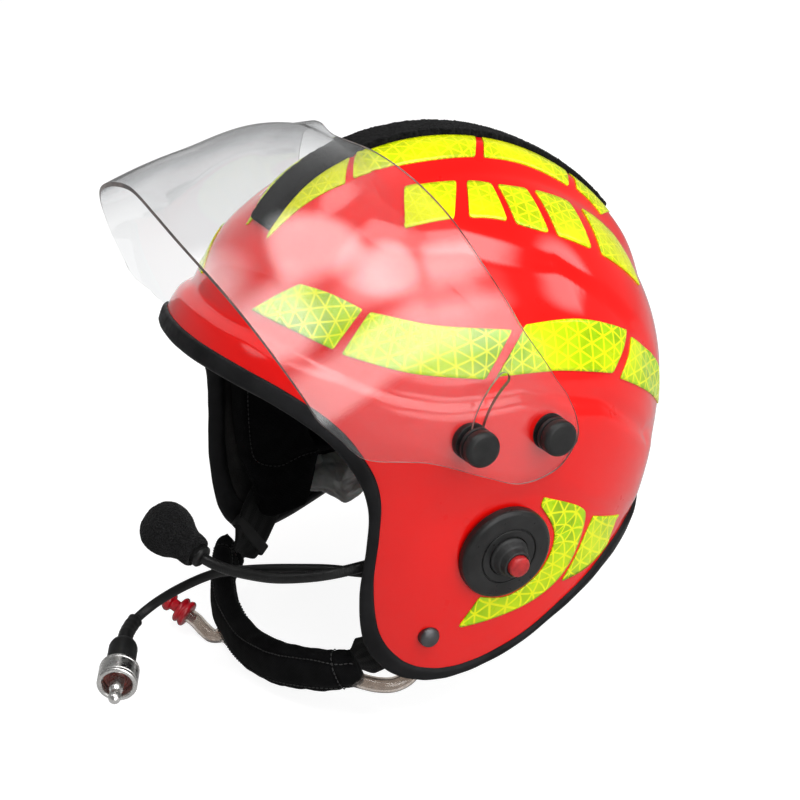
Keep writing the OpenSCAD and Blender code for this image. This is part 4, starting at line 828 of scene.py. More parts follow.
def visor_place(e, s, depth):
    """Points at the shares s between the two edges e, depth mm inside the outer face."""
    e, s = e[:, None, :], s[None, :]
    y = e[..., 1] + (e[..., 4] - e[..., 1]) * s
    q = np.maximum(0, (-59.8 - y) / 121)
    high = VISOR_RISE - 19.1 * q**1.6 + 8 * np.clip(4 * q * (1 - q), 0, 1) - VISOR_FOOT
    m = 2.4 - 0.7 * ease(q, 0, 0.58)
    a = e[..., 0] + (e[..., 3] - e[..., 0]) * s
    b = ((e[..., 2] + (e[..., 5] - e[..., 2]) * s) * VISOR_RISE - VISOR_FOOT) / high
    c, bp, sg = np.maximum(np.abs(a), 1e-9), np.maximum(b, 0), np.sign(a)
    k = np.where(b <= 0, 1 / c, (c**m + bp**m) ** (-1 / m))
    n = np.stack([np.where(b <= 0, sg, sg * (c * k) ** (m - 1) / VISOR_HALF_W), np.zeros_like(a),
                  np.where(b <= 0, 0, (bp * k) ** (m - 1) / high)], -1)
    n = n / np.maximum(np.linalg.norm(n, axis=-1, keepdims=True), 1e-9)
    up = PIV_Z + VISOR_FOOT + b * np.where(b <= 0, 1, k) * high
    return np.stack([a * k * VISOR_HALF_W, PIV_Y + y, up], -1) - n * depth


nu, nv = 211, 45
both_sides = [[-e[0], e[1], e[2], -e[3], e[4], e[5]] for e in VISOR_EDGES[:0:-1]] + VISOR_EDGES
edges, sv = catmull(both_sides, nu), np.linspace(0, 1, nv)
skin_out, skin_in = visor_place(edges, sv, 0.0), visor_place(edges, sv, VISOR_T)
# the outer and inner faces take the clear material, the narrow edges the edge material
skins = [1 if j in (nv - 1, 2 * nv - 1) else 0 for i in range(nu - 1) for j in range(2 * nv)] + [1] * (2 * nv - 2)
visor = add("visor", np.concatenate([skin_out, skin_in[:, ::-1]], 1).reshape(-1, 3),
            grid_faces(nu, 2 * nv) + end_faces(nu, 2 * nv), [VISOR, VISOR_EDGE], "visor_clear", "visor",
            face_skin=skins)


def polar(r, a):
    return np.stack([r * np.cos(a), r * np.sin(a)], -1)


def slot_cutter(side):
    """A prism round the curved slot, from outside the visor to inside it."""
    a0, a1 = math.pi - math.radians(LOCK_A), math.pi - math.radians(LOCK_A + SLOT_SWEEP)
    t, r = np.linspace(0, math.pi, 12)[1:-1], SLOT_HALF
    out = np.concatenate([polar(LOCK_R + r, np.linspace(a0, a1, 40)), polar(LOCK_R, a1) + polar(r, a1 - t),
                          polar(LOCK_R - r, np.linspace(a1, a0, 40)), polar(LOCK_R, a0) + polar(r, a0 - math.pi - t)])
    n = len(out)
    v = [(side * x, PIV_Y + y, PIV_Z + z) for x in (112, 128) for y, z in out]
    f = [tuple(range(n)), tuple(range(2 * n - 1, n - 1, -1))]
    f += [(i, n + i, n + (i + 1) % n, (i + 1) % n) for i in range(n)]
    return v, f if side > 0 else [q[::-1] for q in f]


def cut_by(ob, v, f, skin):
    me = bpy.data.meshes.new("cutter")
    me.from_pydata([tuple(x) for x in world(v)], [], f)
    me.materials.append(skin)
    fix_normals(me)
    tool = bpy.data.objects.new("cutter", me)
    SCENE.collection.objects.link(tool)
    mod = ob.modifiers.new("cut", "BOOLEAN")
    mod.operation, mod.solver, mod.material_mode = "DIFFERENCE", "EXACT", "TRANSFER"
    mod.object = tool
    baked(ob)
    bpy.data.objects.remove(tool)
    bpy.data.meshes.remove(me)


for side, _ in SIDES:
    cut_by(visor, *slot_cutter(side), VISOR_EDGE)
flat_edges(visor)

# --------------------------------------------- knobs, washers and pods
WASHER_X, KNOB_X = 113.5, 121.65
lock_turn = math.radians(LOCK_A)
KNOB_YZ = {"pivot": (PIV_Y, PIV_Z),
           "lock": (PIV_Y - LOCK_R * math.cos(lock_turn), PIV_Z + LOCK_R * math.sin(lock_turn))}
washer = rounded([(2.9, 0), (9.4, 0), (9.4, 4.3), (2.9, 4.3)], 0.4)
knob = [(0, -6.2), (2.75, -6.2), (2.75, 0), (9.2, 0), (9.2, 1.9), (7.6, 2.1), (7.6, 3.1), (9.2, 3.3), (9.2, 6.7),
        (8.7, 7.9), (7.2, 8.9), (3.0, 9.15), (0, 9.18)]
parts = [lathe(washer, (side * WASHER_X, *at), (side, 0, 0), 56, True) for side, _ in SIDES for at in KNOB_YZ.values()]
flat_edges(add("visor_washers", *join_parts(parts), KNOB, "black_plastic"))
for side, word in SIDES:
    for part, at in KNOB_YZ.items():
        name = word + "_" + part + "_knob"
        turned(name, knob, (side * KNOB_X, *at), (side, 0, 0), KNOB, "black_plastic", 72, corner=40, body=name)

POD_SINK = 2.2
POD_AT, POD_AXIS = on_shell(facing(87, -25.7), -POD_SINK), facing(90, -8)
pod_rim = [(25, 0.2), (25, 3.6), (24.5, 5.0), (22.8, 6.0), (16.2, 6.6)]
turned("switch_pod", [(9.2, 0.2)] + pod_rim + [(15.5, 6.5), (15.4, 5.7), (14.7, 5.7), (14.6, 6.5), (14, 6.6),
                                               (10.7, 6.6), (10.6, 5.4), (9.2, 5.4)],
       POD_AT, POD_AXIS, POD_BLACK, "black_plastic", 128, 0.6, True)
turned("switch_hub", [(5.8, 5.0), (10.4, 5.0), (10.4, 7.4), (9.6, 8.2), (8.5, 11.3), (7.8, 11.9), (7.2, 15.2),
                      (6.6, 15.6), (5.9, 15.5), (5.8, 14.8), (5.8, 5.0)],
       POD_AT, POD_AXIS, HUB, "black_plastic", 96)
turned("talk_button", [(0, 8), (5.6, 8), (5.6, 17.3), (5.0, 18.3), (3.2, 18.75), (0, 18.85)],
       POD_AT, POD_AXIS, BUTTON, "button_red", 72, body="talk_button")
turned("blank_pod", [(0, 0.2)] + pod_rim + [(13.5, 6.6), (12.6, 7.0), (10.5, 9.4), (8.6, 10.5), (0, 10.6)],
       mirror(POD_AT), mirror(POD_AXIS), POD_BLACK, "black_plastic", 128, 0.6)

RIV_Y, RIV_Z = -43.0, -97.0
RIV_X = wall_x(RIV_Y, RIV_Z) + 3.6
STRAP_X = wall_x(RIV_Y - 18, RIV_Z) - 4.55
rivet_head = rounded([(0, -1), (5.4, -1), (5.4, 2.2), (4.9, 3.4), (3.6, 4.2), (1.6, 4.7), (0, 4.85)], 0.5)
rivet_stem = [(0, STRAP_X - 5 - RIV_X), (2.4, STRAP_X - 5 - RIV_X), (2.4, -1), (0, -1)]
parts = [lathe(prof, (side * RIV_X, RIV_Y, RIV_Z), (side, 0, 0), n)
         for side, _ in SIDES for prof, n in ((rivet_head, 64), (rivet_stem, 32))]
flat_edges(add("strap_rivets", *join_parts(parts), RIVET, "dark_metal"))


# ----------------------------------------------------- soft piece helpers
STITCH_LIFT, STITCH_ARCH, THREAD_R = 0.25, 0.32, 0.35
SEAM_CHUNK = 20000  # points measured at once


def get_points(me, what="co"):
    layer = me.vertices if what == "co" else me.vertex_normals
    out = np.empty(len(me.vertices) * 3)
    layer.foreach_get(what, out)
    return out.reshape(-1, 3)


def get_normals(me):
    return get_points(me, "vector")


def set_points(me, p):
    me.vertices.foreach_set("co", np.asarray(p, float).ravel())
    me.update()


def soft_copy(name, skin, body="helmet", slot="pad_fabric"):
    """A new object from a CAD solid's mesh, to be swollen into the real pad."""
    me = NODES[name].data.copy()
    me.name = name + "_v"
    me.materials.clear()
    me.materials.append(skin)
    return dress(bpy.data.objects.new(name + "_v", me), name, slot, body)


def puff(ob, voxel, cap, share=None, shrink=0.0012):
    """Swells a closed form like a filled pad, by cap metres at most.

    share says how much of that each point takes.
    """
    skin = ob.data.materials[0]
    even_out = ob.modifiers.new("even", "REMESH")
    even_out.mode, even_out.voxel_size, even_out.use_smooth_shade = "VOXEL", voxel, True
    smooth = ob.modifiers.new("smooth", "SMOOTH")
    smooth.factor, smooth.iterations = 0.5, 4
    baked(ob)
    rest = get_points(ob.data)
    part = np.ones(len(rest)) if share is None else share(local(rest))
    rest = rest - get_normals(ob.data) * (shrink * part)[:, None]
    set_points(ob.data, rest)
    mod = ob.modifiers.new("cloth", "CLOTH")
    s = mod.settings
    s.quality, s.mass, s.use_pressure, s.uniform_pressure_force = 5, 0.3, True, 4.0
    s.tension_stiffness = s.compression_stiffness = s.shear_stiffness = 12.0
    s.bending_stiffness = 0.5
    s.effector_weights.gravity = 0
    mod.point_cache.frame_start, mod.point_cache.frame_end = 1, 20
    for k in range(1, 21):
        SCENE.frame_set(k)
    step = get_points(ob.evaluated_get(bpy.context.evaluated_depsgraph_get()).data) - rest
    ob.modifiers.clear()
    SCENE.frame_set(1)
    far = np.linalg.norm(step, axis=1)
    set_points(ob.data, rest + step * (np.minimum(1, cap / np.maximum(far, 1e-9)) * part)[:, None])
    sub = ob.modifiers.new("round", "SUBSURF")
    sub.levels = sub.render_levels = 2
    baked(ob)
    ob.data.polygons.foreach_set("use_smooth", [True] * len(ob.data.polygons))
    if len(ob.data.materials) == 0:
        ob.data.materials.append(skin)


def onto(ob, line):
    """A line's nearest points on a piece, with the normals there."""
    me = ob.data
    tree = BVHTree.FromPolygons([v.co for v in me.vertices], [tuple(q.vertices) for q in me.polygons])
    hits = [tree.find_nearest(Vector(p)) for p in world(line)]
    return np.array([h[0] for h in hits]), np.array([h[1] for h in hits])


def seam(ob, lines, depth, width, name=None, body="helmet", stitch=2.6):
    """Pulls in a sewn line and lays its stitches in the groove."""
    me = ob.data
    laid = [onto(ob, even(q, max(12, int(steps(q).sum() / 1.2)))) for q in lines]
    p, n = get_points(me), get_normals(me)
    pull = np.zeros(len(p))
    for at, _ in laid:
        for k in range(0, len(p), SEAM_CHUNK):
            some = slice(k, k + SEAM_CHUNK)
            d = np.linalg.norm(p[some, None] - at[None], axis=2).min(1) * 1000
            pull[some] = np.maximum(pull[some], np.exp(-((d / width) ** 2)))
    set_points(me, p - n * (pull * depth / 1000)[:, None])
    if not name:
        return
    parts = []
    arch = STITCH_ARCH * np.sin(np.linspace(0, math.pi, 6))[:, None]
    thread = THREAD_R * np.array([0.5, 0.95, 1, 1, 0.95, 0.5])
    for at, nn in laid:
        nn = unit(nn)
        line = local(at) + nn * (STITCH_LIFT - depth)
        s, t = travel(line), 0.0
        while t + stitch * 0.7 < s[-1]:
            u = np.linspace(t, t + stitch * 0.72, 6)
            q = interp3(u, s, line) + interp3(u, s, nn) * arch
            parts.append((tube_rings(q, thread, 6, (0.3, 0.5, 0.8)).reshape(-1, 3),
                          grid_faces(6, 6) + [tuple(range(6)), tuple(range(35, 29, -1))]))
            t += stitch
    add(name, *join_parts(parts), THREAD, body=body)


def wrinkle(ob, size, amount, seed):
    """Small folds and dents along the normals, by noise."""
    p, n = get_points(ob.data), get_normals(ob.data)
    h = np.array([noise.noise(Vector(q) * (1 / size) + Vector((seed, seed, 0))) for q in p])
    set_points(ob.data, p + n * (h * amount)[:, None])


# ------------------------------------------------------------- lining
LINER_OUT, LINER_IN, LINER_GROOVE = 1.2, 19.2, 2.2
liner_e = edge_dirs(LINER_LEFT, 240)
shares = np.concatenate([np.linspace(0.03, 0.93, 44), [0.965, 0.985]])
rows = [(v, LINER_OUT) for v in shares] + [(0.997, LINER_OUT + 0.5), (1.0, LINER_OUT + 2), (1.0, LINER_IN - 2),
                                           (0.997, LINER_IN - 0.5)]
rows = [on_wall(from_pole(liner_e, v), deep) for v, deep in rows]
for v in shares[::-1]:
    d = from_pole(liner_e, v)
    phi = np.degrees(np.arctan2(d[:, 0], -d[:, 1]))
    groove = np.exp(-((((phi + 15) % 30 - 15) / 1.6) ** 2)) * ease(v, 0.3, 0.45) * (v < 0.94)
    rows.append(on_wall(d, LINER_IN - LINER_GROOVE * groove))
loft("foam_liner", rows, LINER, "impact_foam")

crown = soft_copy("crown_pad", LINING)
puff(crown, 0.0035, 0.0022, shrink=0.0014)
for k in range(3):
    a = math.radians(60 * k + 15)
    seam(crown, [[(31 * math.cos(a) * t, 31 * math.sin(a) * t, 68) for t in np.linspace(-1, 1, 40)]], 1.1, 2.2,
         "crown_seam_%d" % (k + 1))

brow = soft_copy("brow_pad", LINING)
puff(brow, 0.0035, 0.0018)
lines = []
for phi in range(-36, 37, 12):
    low = np.interp(abs(phi), *np.array(LINER_LEFT, float).T) + 3
    lines.append(on_wall(facing(np.full(24, float(phi)), np.linspace(36 - abs(phi) * 0.16, low, 24)), 29))
seam(brow, lines, 1.2, 1.8, "brow_seams")


# nape bladder: a welded film bag, part filled
END_BULGE, END_SAG, END_DROOP = 16, 5, 11


def fill_ends(ob):
    """The air stands in the bag's two front ends, which bulge inwards and sag."""
    p = local(get_points(ob.data))
    phi = np.abs(np.degrees(np.arctan2(p[:, 0], -p[:, 1])))
    part = ease(phi, 84, 92) * (1 - ease(phi, 108, 128))
    across = np.hypot(p[:, 0], p[:, 1])
    depth = np.clip((96 - across) / 12, 0, 1)
    p[:, :2] -= p[:, :2] / across[:, None] * (END_BULGE * part * depth)[:, None]
    p[:, 2] -= part * (END_SAG + END_DROOP * depth)
    set_points(ob.data, world(p))


# azimuth, middle height and half height of the bag
BLADDER = np.array([
    (84.5, -92, 7), (86, -91, 11), (90, -90.5, 13), (97, -89, 13), (104, -84, 12.5), (110, -75, 12.5),
    (117, -66, 13.5), (128, -57, 14), (145, -51, 14), (165, -49, 14), (195, -49, 14), (215, -51, 14),
    (232, -57, 14), (243, -66, 13.5), (250, -75, 12.5), (256, -84, 12.5), (263, -90, 13), (271, -92, 14),
    (277, -93.5, 13), (281, -95, 10), (283, -96, 6)], float)
bladder = soft_copy("nape_bladder", FILM, slot="bladder_film")
puff(bladder, 0.0038, 0.0016, shrink=0.0016)
fill_ends(bladder)
bag_phi, bag_mid, bag_half = BLADDER.T
seam(bladder, [catmull(wall_at(bag_phi, bag_mid + k * bag_half, 16.5), 160) for k in (0.72, -0.72)], 1.2, 1.5)
cross = []
for phi in range(96, 275, 11):
    zc, hz = np.interp(phi, bag_phi, bag_mid), np.interp(phi, bag_phi, bag_half)
    cross.append(wall_at(np.full(16, float(phi)), np.linspace(zc - 0.5 * hz, zc + 0.5 * hz, 16), 18.0))
seam(bladder, cross, 0.9, 2.4)
wrinkle(bladder, 0.009, 0.0009, 3.1)
wrinkle(bladder, 0.0035, 0.0003, 7.7)

# cheek pads, ear cups, speakers and cushions
CHEEK = [(-63, -22), (-63, -50), (-60, -72), (-44, -80), (-26, -76), (4, -76), (26, -70), (34, -50), (34, -28),
         (26, -17), (0, -15), (-40, -15), (-58, -16)]
CHEEK_X, EAR_X, EAR_Y, EAR_Z, EAR_R, EAR_DEPTH = 78.0, 97.0, 4.0, -44.0, 26.0, 11.0
CUSHION_R, FLAP_X, FLAP_DROP = 17.6, 81, 29


def cheek_share(p):
    bore = ease(np.hypot(p[:, 1] - EAR_Y, p[:, 2] - EAR_Z), 27.5, 33)
    return bore * (1 - ease(np.abs(p[:, 0]), 84, 97))


def hang_flap(ob):
    """The pad's lower front edge runs down as a thin flap over the strap's root."""
    p = local(get_points(ob.data))
    part = ease(p[:, 1], -62, -50) * (1 - ease(p[:, 1], -24, -13)) * ease(-p[:, 2], 56, 77)
    x, thin = np.abs(p[:, 0]), np.minimum(1, 3.5 * part)
    p[:, 0] = np.sign(p[:, 0]) * (x - np.maximum(0, x - FLAP_X) * 0.85 * thin)
    p[:, 2] -= FLAP_DROP * part
    set_points(ob.data, world(p))


def long_runs(line, keep):
    """The unbroken runs of more than 8 kept points."""
    runs, run = [], []
    for q, ok in zip([*line, None], [*keep, False]):
        if ok:
            run.append(q)
        else:
            runs, run = runs + [run] * (len(run) > 8), []
    return runs


ear_cup = [(0, 11), (EAR_R - 1.2, 11), (EAR_R, 9.8), (EAR_R, 0.6), (EAR_R - 0.6, 0), (EAR_R - 2.4, 0),
           (EAR_R - 3, 0.6), (EAR_R - 3, 9), (0, 9)]
speaker = [(0, 0.6), (10, 0.9), (13.5, 1.5), (14, 2.6), (15, 2.6), (15.4, 1.2), (18, 1.2), (18, 9), (0, 9)]
for side, word in SIDES:
    pad = soft_copy(word + "_cheek_pad", LINING)
    puff(pad, 0.004, 0.0042, cheek_share)
    if side < 0:  # on the left the inflation tube needs the room when the strap swings
        hang_flap(pad)
    line = catmull([(side * 79, 0.9 * (y + 14) - 14, 0.88 * (z + 46) - 46) for y, z in CHEEK], 160, closed=True)
    keep = np.hypot(line[:, 1] - EAR_Y, line[:, 2] - EAR_Z) > 31
    if side > 0:
        keep &= ~((line[:, 1] < -34) & (line[:, 2] < -40))
    seam(pad, long_runs(line, keep), 1.0, 2.0, word + "_cheek_seam")
    at = (side * (EAR_X - EAR_DEPTH), EAR_Y, EAR_Z)
    turned(word + "_ear_cup", ear_cup, at, (side, 0, 0), POD_BLACK, "black_plastic", 72, 0.6)
    turned(word + "_speaker", speaker, at, (side, 0, 0), FOAM, "black_plastic", 72, 0.4)
    cushion = soft_copy(word + "_ear_cushion", VINYL, slot="ear_leather")
    puff(cushion, 0.003, 0.0009, shrink=0.0008)
    p, n = get_points(cushion.data), get_normals(cushion.data)
    dy, dz = local(p)[:, 1] - EAR_Y, local(p)[:, 2] - EAR_Z
    th, rr = np.arctan2(dz, dy), np.hypot(dy, dz)
    pleat = 0.32 * np.sin(th * 34 + 1.2 * np.sin(th * 5)) * ease(21.5 - rr, 0, 4)
    pleat = pleat + 0.22 * np.sin(th * 29 + 1.6 * np.sin(th * 7)) * ease(rr, 22.5, 25)
    set_points(cushion.data, p + n * (pleat / 1000)[:, None])
    ring = [(side * CHEEK_X, EAR_Y + CUSHION_R * math.cos(a), EAR_Z + CUSHION_R * math.sin(a))
            for a in np.linspace(0, 2 * math.pi, 90)]
    seam(cushion, [ring], 0.7, 1.1, word + "_cushion_seam", stitch=2.0)

# ------------------------------------- pieces kept from the frame, and the spring
SPRING_R, SPRING_TURNS, SPRING_START, SPRING_RISE, SPRING_WIRE = 4.25, 3.4, 2.25, 2.1, 0.36
SWITCH_CASE = moulded("switch_case", 0.03, 0.4, 0.2)
for name, skin in (("visor_inserts", BRASS), ("rivet_washers", RIVET), ("pod_nut", STEEL),
                   ("switch_body", SWITCH_CASE), ("mic_capsule", POD_BLACK)):
    NODES[name].data.materials.clear()
    NODES[name].data.materials.append(skin)
turns = np.linspace(0, 2 * math.pi * SPRING_TURNS, 110)[:, None]
u, w, axis_dir = axes_of(POD_AXIS)
coil = POD_AT + (np.cos(turns) * u + np.sin(turns) * w) * SPRING_R
coil = coil + axis_dir * (SPRING_START + SPRING_RISE * turns / turns[-1])
loft("button_spring", tube_rings(coil, SPRING_WIRE, 10, POD_AXIS), STEEL, "spring_steel")

# ---------------------------------------------------------- chin strap
SX = STRAP_X
STRAP_HALF = [
    (SX, RIV_Y + 6, RIV_Z + 7), (SX, RIV_Y, RIV_Z), (SX - 2.5, RIV_Y - 7.5, RIV_Z - 9), (SX - 7.5, -61, -115),
    (SX * 0.8555, -72, -120.5), (SX * 0.743, -81, -124.5), (SX * 0.563, -89, -129), (SX * 0.338, -95.5, -133.5),
    (0, -98, -137)]
STRAP_PTS = np.array(STRAP_HALF + [tuple(mirror(q)) for q in STRAP_HALF[-2::-1]], float)
PER_PT = 12  # fine points to each strap point; the CAD strap has 3
SLEEVE_T, SLEEVE_W, WEB_W, WEB_T, WEB_RIB, WEB_COLS = 14.0, 27.0, 25.0, 2.0, 0.05, 24
strap_fine = catmull(STRAP_PTS, PER_PT * (len(STRAP_PTS) - 1) + 1)


def band_axes(p):
    """Along, across and through a band that lies flat on the jaw and turns at the ears."""
    t = unit(np.gradient(p, axis=0))
    k = ease(np.abs(p[..., 0]), 60, SX)
    w = unit(np.stack([0 * k, 0.75 * k, -1 + 0.35 * k], -1))
    a = unit(w - (w * t).sum(-1, keepdims=True) * t)
    return t, a, np.cross(t, a)


def web_shift(k):
    """How far the webbing leaves the strap's middle line, at the CAD strap's point k."""
    return (1.2 + WEB_T / 2 - SLEEVE_T / 2) * ease(k, 5, 11)


web_line = strap_fine[:int(13 / 3 * PER_PT) + 1]
web_line = web_line + band_axes(web_line)[2] * web_shift(np.arange(len(web_line)) * 3 / PER_PT)[:, None]
web = even(web_line, 150)
_, wa, wb = band_axes(web)
q = np.linspace(-1, 1, WEB_COLS)
wide = WEB_W * (1 - 0.5 * ease(np.linspace(0, 13, 150), 10.2, 12))[:, None]
side_step = wa[:, None] * (q * wide / 2)[..., None]
thick = WEB_T / 2 * (1 - 0.55 * np.abs(q) ** 10) + WEB_RIB * np.cos(q * math.pi * 4.5)
thick = wb[:, None] * thick[None, :, None]
sec = np.concatenate([web[:, None] + side_step + thick, (web[:, None] + side_step - thick)[:, ::-1]], 1)
across = np.linspace(0, 0.025, WEB_COLS)
uv = np.stack([np.repeat(travel(web) / 1000, 2 * WEB_COLS), np.tile([*across, *across[::-1]], len(web))], -1)
for side, word in SIDES:
    v = sec.reshape(-1, 3) if side > 0 else mirror(sec.reshape(-1, 3))
    add(word + "_webbing", v, grid_faces(len(sec), 2 * WEB_COLS) + end_faces(len(sec), 2 * WEB_COLS), WEAVE,
        "strap_webbing", "chin_strap", uv=uv)

first = int(11 / 3 * PER_PT)
NS = 64
sleeve_pts = even(strap_fine[first:len(strap_fine) - first], NS)
_, sa, sb = band_axes(sleeve_pts)
th = np.linspace(0, 2 * math.pi, 40, endpoint=False)
end = np.minimum(np.arange(NS), np.arange(NS)[::-1]) / 5.0
tap = 0.9 + 0.1 * np.sqrt(np.clip(1 - (1 - np.clip(end, 0, 1)) ** 2, 0, 1))
cx = np.sign(np.cos(th)) * np.abs(np.cos(th)) ** 0.62 * (SLEEVE_W / 2 - 0.8)
cy = np.sign(np.sin(th)) * np.abs(np.sin(th)) ** 0.72 * (SLEEVE_T / 2 + 0.4)
rings = sleeve_pts[:, None] + sa[:, None] * (cx * tap[:, None])[..., None]
rings = rings + sb[:, None] * (cy * tap[:, None])[..., None]
sleeve = loft("chin_sleeve", rings, NEOPRENE, "pad_fabric", body="chin_strap")
puff(sleeve, 0.0032, 0.0013, shrink=0.0006)
for face, r in (("inner", 1), ("outer", -1)):
    lines = [sleeve_pts + sa * q * SLEEVE_W / 2 + sb * r * SLEEVE_T / 2 for q in (0.62, -0.62)]
    seam(sleeve, lines, 0.7, 1.5, "sleeve_seam_" + face, "chin_strap")
ang = np.linspace(0, 2 * math.pi, 60)[:, None]
hems = [sleeve_pts[k] + sa[k] * (np.cos(ang) * SLEEVE_W / 2) + sb[k] * (np.sin(ang) * SLEEVE_T / 2) for k in (4, 59)]
seam(sleeve, hems, 0.9, 1.3, "sleeve_hems", "chin_strap")
wrinkle(sleeve, 0.02, 0.0009, 1.3)
wrinkle(sleeve, 0.006, 0.00025, 5.0)

# the slider: a moulded keeper round the right webbing
SLIDER_AT, SLIDER_LONG, SLIDER_WALL, SLIDER_HALF_T = 9, 7.0, 1.15, 2.4
k = int(SLIDER_AT / 3 * PER_PT)
tt, aa = (mirror(x[k]) for x in band_axes(strap_fine)[:2])
bb = np.cross(tt, aa)
centre = mirror(strap_fine[k]) - bb * web_shift(float(SLIDER_AT))
half = np.array([WEB_W / 2 + 1.5, SLIDER_HALF_T])
loop = [(cx * (half[0] - 1.2) + 1.2 * math.cos(a), cz * (half[1] - 1.2) + 1.2 * math.sin(a))
        for cx, cz, a0 in ((1, 1, 0), (-1, 1, 90), (-1, -1, 180), (1, -1, 270))
        for a in np.radians(np.linspace(a0, a0 + 90, 8))]
th = np.linspace(0, 2 * math.pi, 16, endpoint=False)[:, None]
s = np.sign(np.cos(th)) * np.abs(np.cos(th)) ** 0.4 * SLIDER_LONG / 2
r = np.sign(np.sin(th)) * np.abs(np.sin(th)) ** 0.5 * SLIDER_WALL / 2
rings = []
for q in np.array(loop):
    mid, out = q * (1 - SLIDER_WALL / 2 / half), unit(q * np.array([0.2, 0.6]))
    rings.append(centre + tt * s + aa * (mid[0] + out[0] * r) + bb * (mid[1] + out[1] * r))
loft("strap_slider", rings, KNOB, "black_plastic", True, body="chin_strap")

# ------------------------------------------------- inflation tube and valve
TUBE_R, TUBE_BORE, TUBE_ASIDE, TUBE_IN = 4.0, 2.6, 6.2, 0.9
VALVE_AXIS = unit([-0.71, -0.54, 0.45])
VALVE_ROOT = np.array([-51, -109.5, -140.6])
cad_strap = catmull(STRAP_PTS, 3 * (len(STRAP_PTS) - 1) + 1)[11:-11]
_, ra, rb = band_axes(cad_strap)
inside = (cad_strap + ra * TUBE_ASIDE + rb * TUBE_IN)[cad_strap[:, 0] > -25]
TUBE_NEAR = [(SX - 6.5, -19.5, -102.2), (SX - 6.5, -24.5, -102.8), (SX - 6.3, -30.5, -107),
             (SX - 4.8, -36.5, -116.5), (SX - 0.3, -44, -125), (SX + 1.2, -54, -128), (SX - 2.8, -63.5, -128)]
TUBE_FAR = [(-31, -97, -146.8), (-37, -101.2, -149), (-42.5, -104.2, -146.6), VALVE_ROOT - VALVE_AXIS * 5,
            VALVE_ROOT - VALVE_AXIS * 0.2]


def hose(name, pts, u, body):
    p = catmull(pts, 10 * (len(pts) - 1) + 1)
    rings = np.concatenate([tube_rings(p, TUBE_R, 28, u), tube_rings(p, TUBE_BORE, 28, u)[::-1]])
    loft(name, rings, HOSE, "tube_clear", True, body=body)


hose("inflation_tube", np.concatenate([TUBE_NEAR, inside[2::3], TUBE_FAR]), (0, 0, 1), "chin_strap")
root = np.array([SX - 6.4, -15.8, -102])
hose("feed_tube", root + [[0, 0, 0], [1.1, 2.4, 1.4], [3.1, 4, 3.6], [4.1, 5.4, 6]], (1, 0, 0), "helmet")
turned("valve_body", [(1.6, -4), (2.4, -4), (2.4, -0.2), (5.2, -0.2), (7.2, 0.2), (7.8, 1.4), (7.2, 2.8), (6.4, 3.4),
                      (6.5, 4.0), (7.3, 4.6), (7.5, 5.6), (6.6, 6.7), (4.6, 7.1), (3.4, 7), (3.4, 1), (1.6, 1)],
       VALVE_ROOT, VALVE_AXIS, VALVE, "valve_red", 72, 0.9, True, 55, body="chin_strap")
turned("mouthpiece", [(1.6, 0), (3.2, 0), (3.4, 6.6), (4.4, 7.0), (5.4, 7.8), (5.7, 8.9), (5.4, 10.1), (4.7, 11.2),
                      (3.6, 11.75), (1.6, 11.8)],
       VALVE_ROOT + VALVE_AXIS * 4.2, VALVE_AXIS, VALVE, "valve_red", 64, 0.5, True, 55, body="mouthpiece")

# ------------------------------------------------------------ microphone
HINGE = np.array([86.5, -46.0, -58.0])
MIC = np.array([2.0, -137.0, -63.0])
MIC_AXIS = unit([-0.806, -0.432, 0.403])
BOOM_R, BOOM_RINGS, CORD_PITCH = 2.9, 900, 1.15
boom_pts = [*(HINGE + [[0, -4, -0.3], [-0.2, -12, -1], [-1.2, -23, -2.2], [-6, -37, -5], [-15, -48.5, -8.5],
                       [-28.5, -61, -12]]),
            (40, -117, -72.7), (28, -123, -73.2), MIC - MIC_AXIS * 21, MIC - MIC_AXIS * 16]
boom = even(catmull(boom_pts, 400), BOOM_RINGS)
far = np.linspace(0, 1, BOOM_RINGS) * steps(boom).sum()
boom_r = BOOM_R - 0.09 * (0.5 + 0.5 * np.cos(far * 2 * math.pi / CORD_PITCH))
boom_r[:6] = boom_r[-6:] = BOOM_R - 0.1
bv = np.concatenate([tube_rings(boom, boom_r, 24, (1, 0, 0)).reshape(-1, 3), [boom[0], boom[-1]]])
knuckle = rounded([(2.2, -4.7), (4.6, -4.7), (5.5, -3.9), (5.5, 3.9), (4.6, 4.7), (2.2, 4.7)], 0.5)
ferrule = rounded([(2.6, 0), (4.1, 0.2), (4.3, 1), (4.2, 5.5), (3.6, 8), (3.05, 9.2), (2.6, 9.2)], 0.5)
parts = [(bv, grid_faces(BOOM_RINGS, 24) + fan_faces(BOOM_RINGS, 24)), lathe(knuckle, HINGE, (1, 0, 0), 48, True),
         lathe(ferrule, HINGE + [0, -4.4, -0.3], (-0.02, -1, -0.07), 40, True)]
flat_edges(add("mic_boom", *join_parts(parts), BOOM, "black_rubber", "mic_boom"), 60)
base_end = wall_x(HINGE[1] - 9, HINGE[2] + 7) - 1 - HINGE[0]
turned("boom_base", [(0, -5), (2.0, -5), (2.0, 5), (7.6, 5), (9, 6.2), (9, base_end), (0, base_end)],
       HINGE, (1, 0, 0), POD_BLACK, "black_plastic", 64)
turned("boom_cuff", [(3.1, 0), (4.9, 0), (6.0, 0.9), (6.05, 2.4), (5.4, 3.1), (5.3, 8.9), (3.1, 9)],
       MIC - MIC_AXIS * 21, MIC_AXIS, BOOM, "black_rubber", 56, 0.4, True, 55, body="mic_boom")

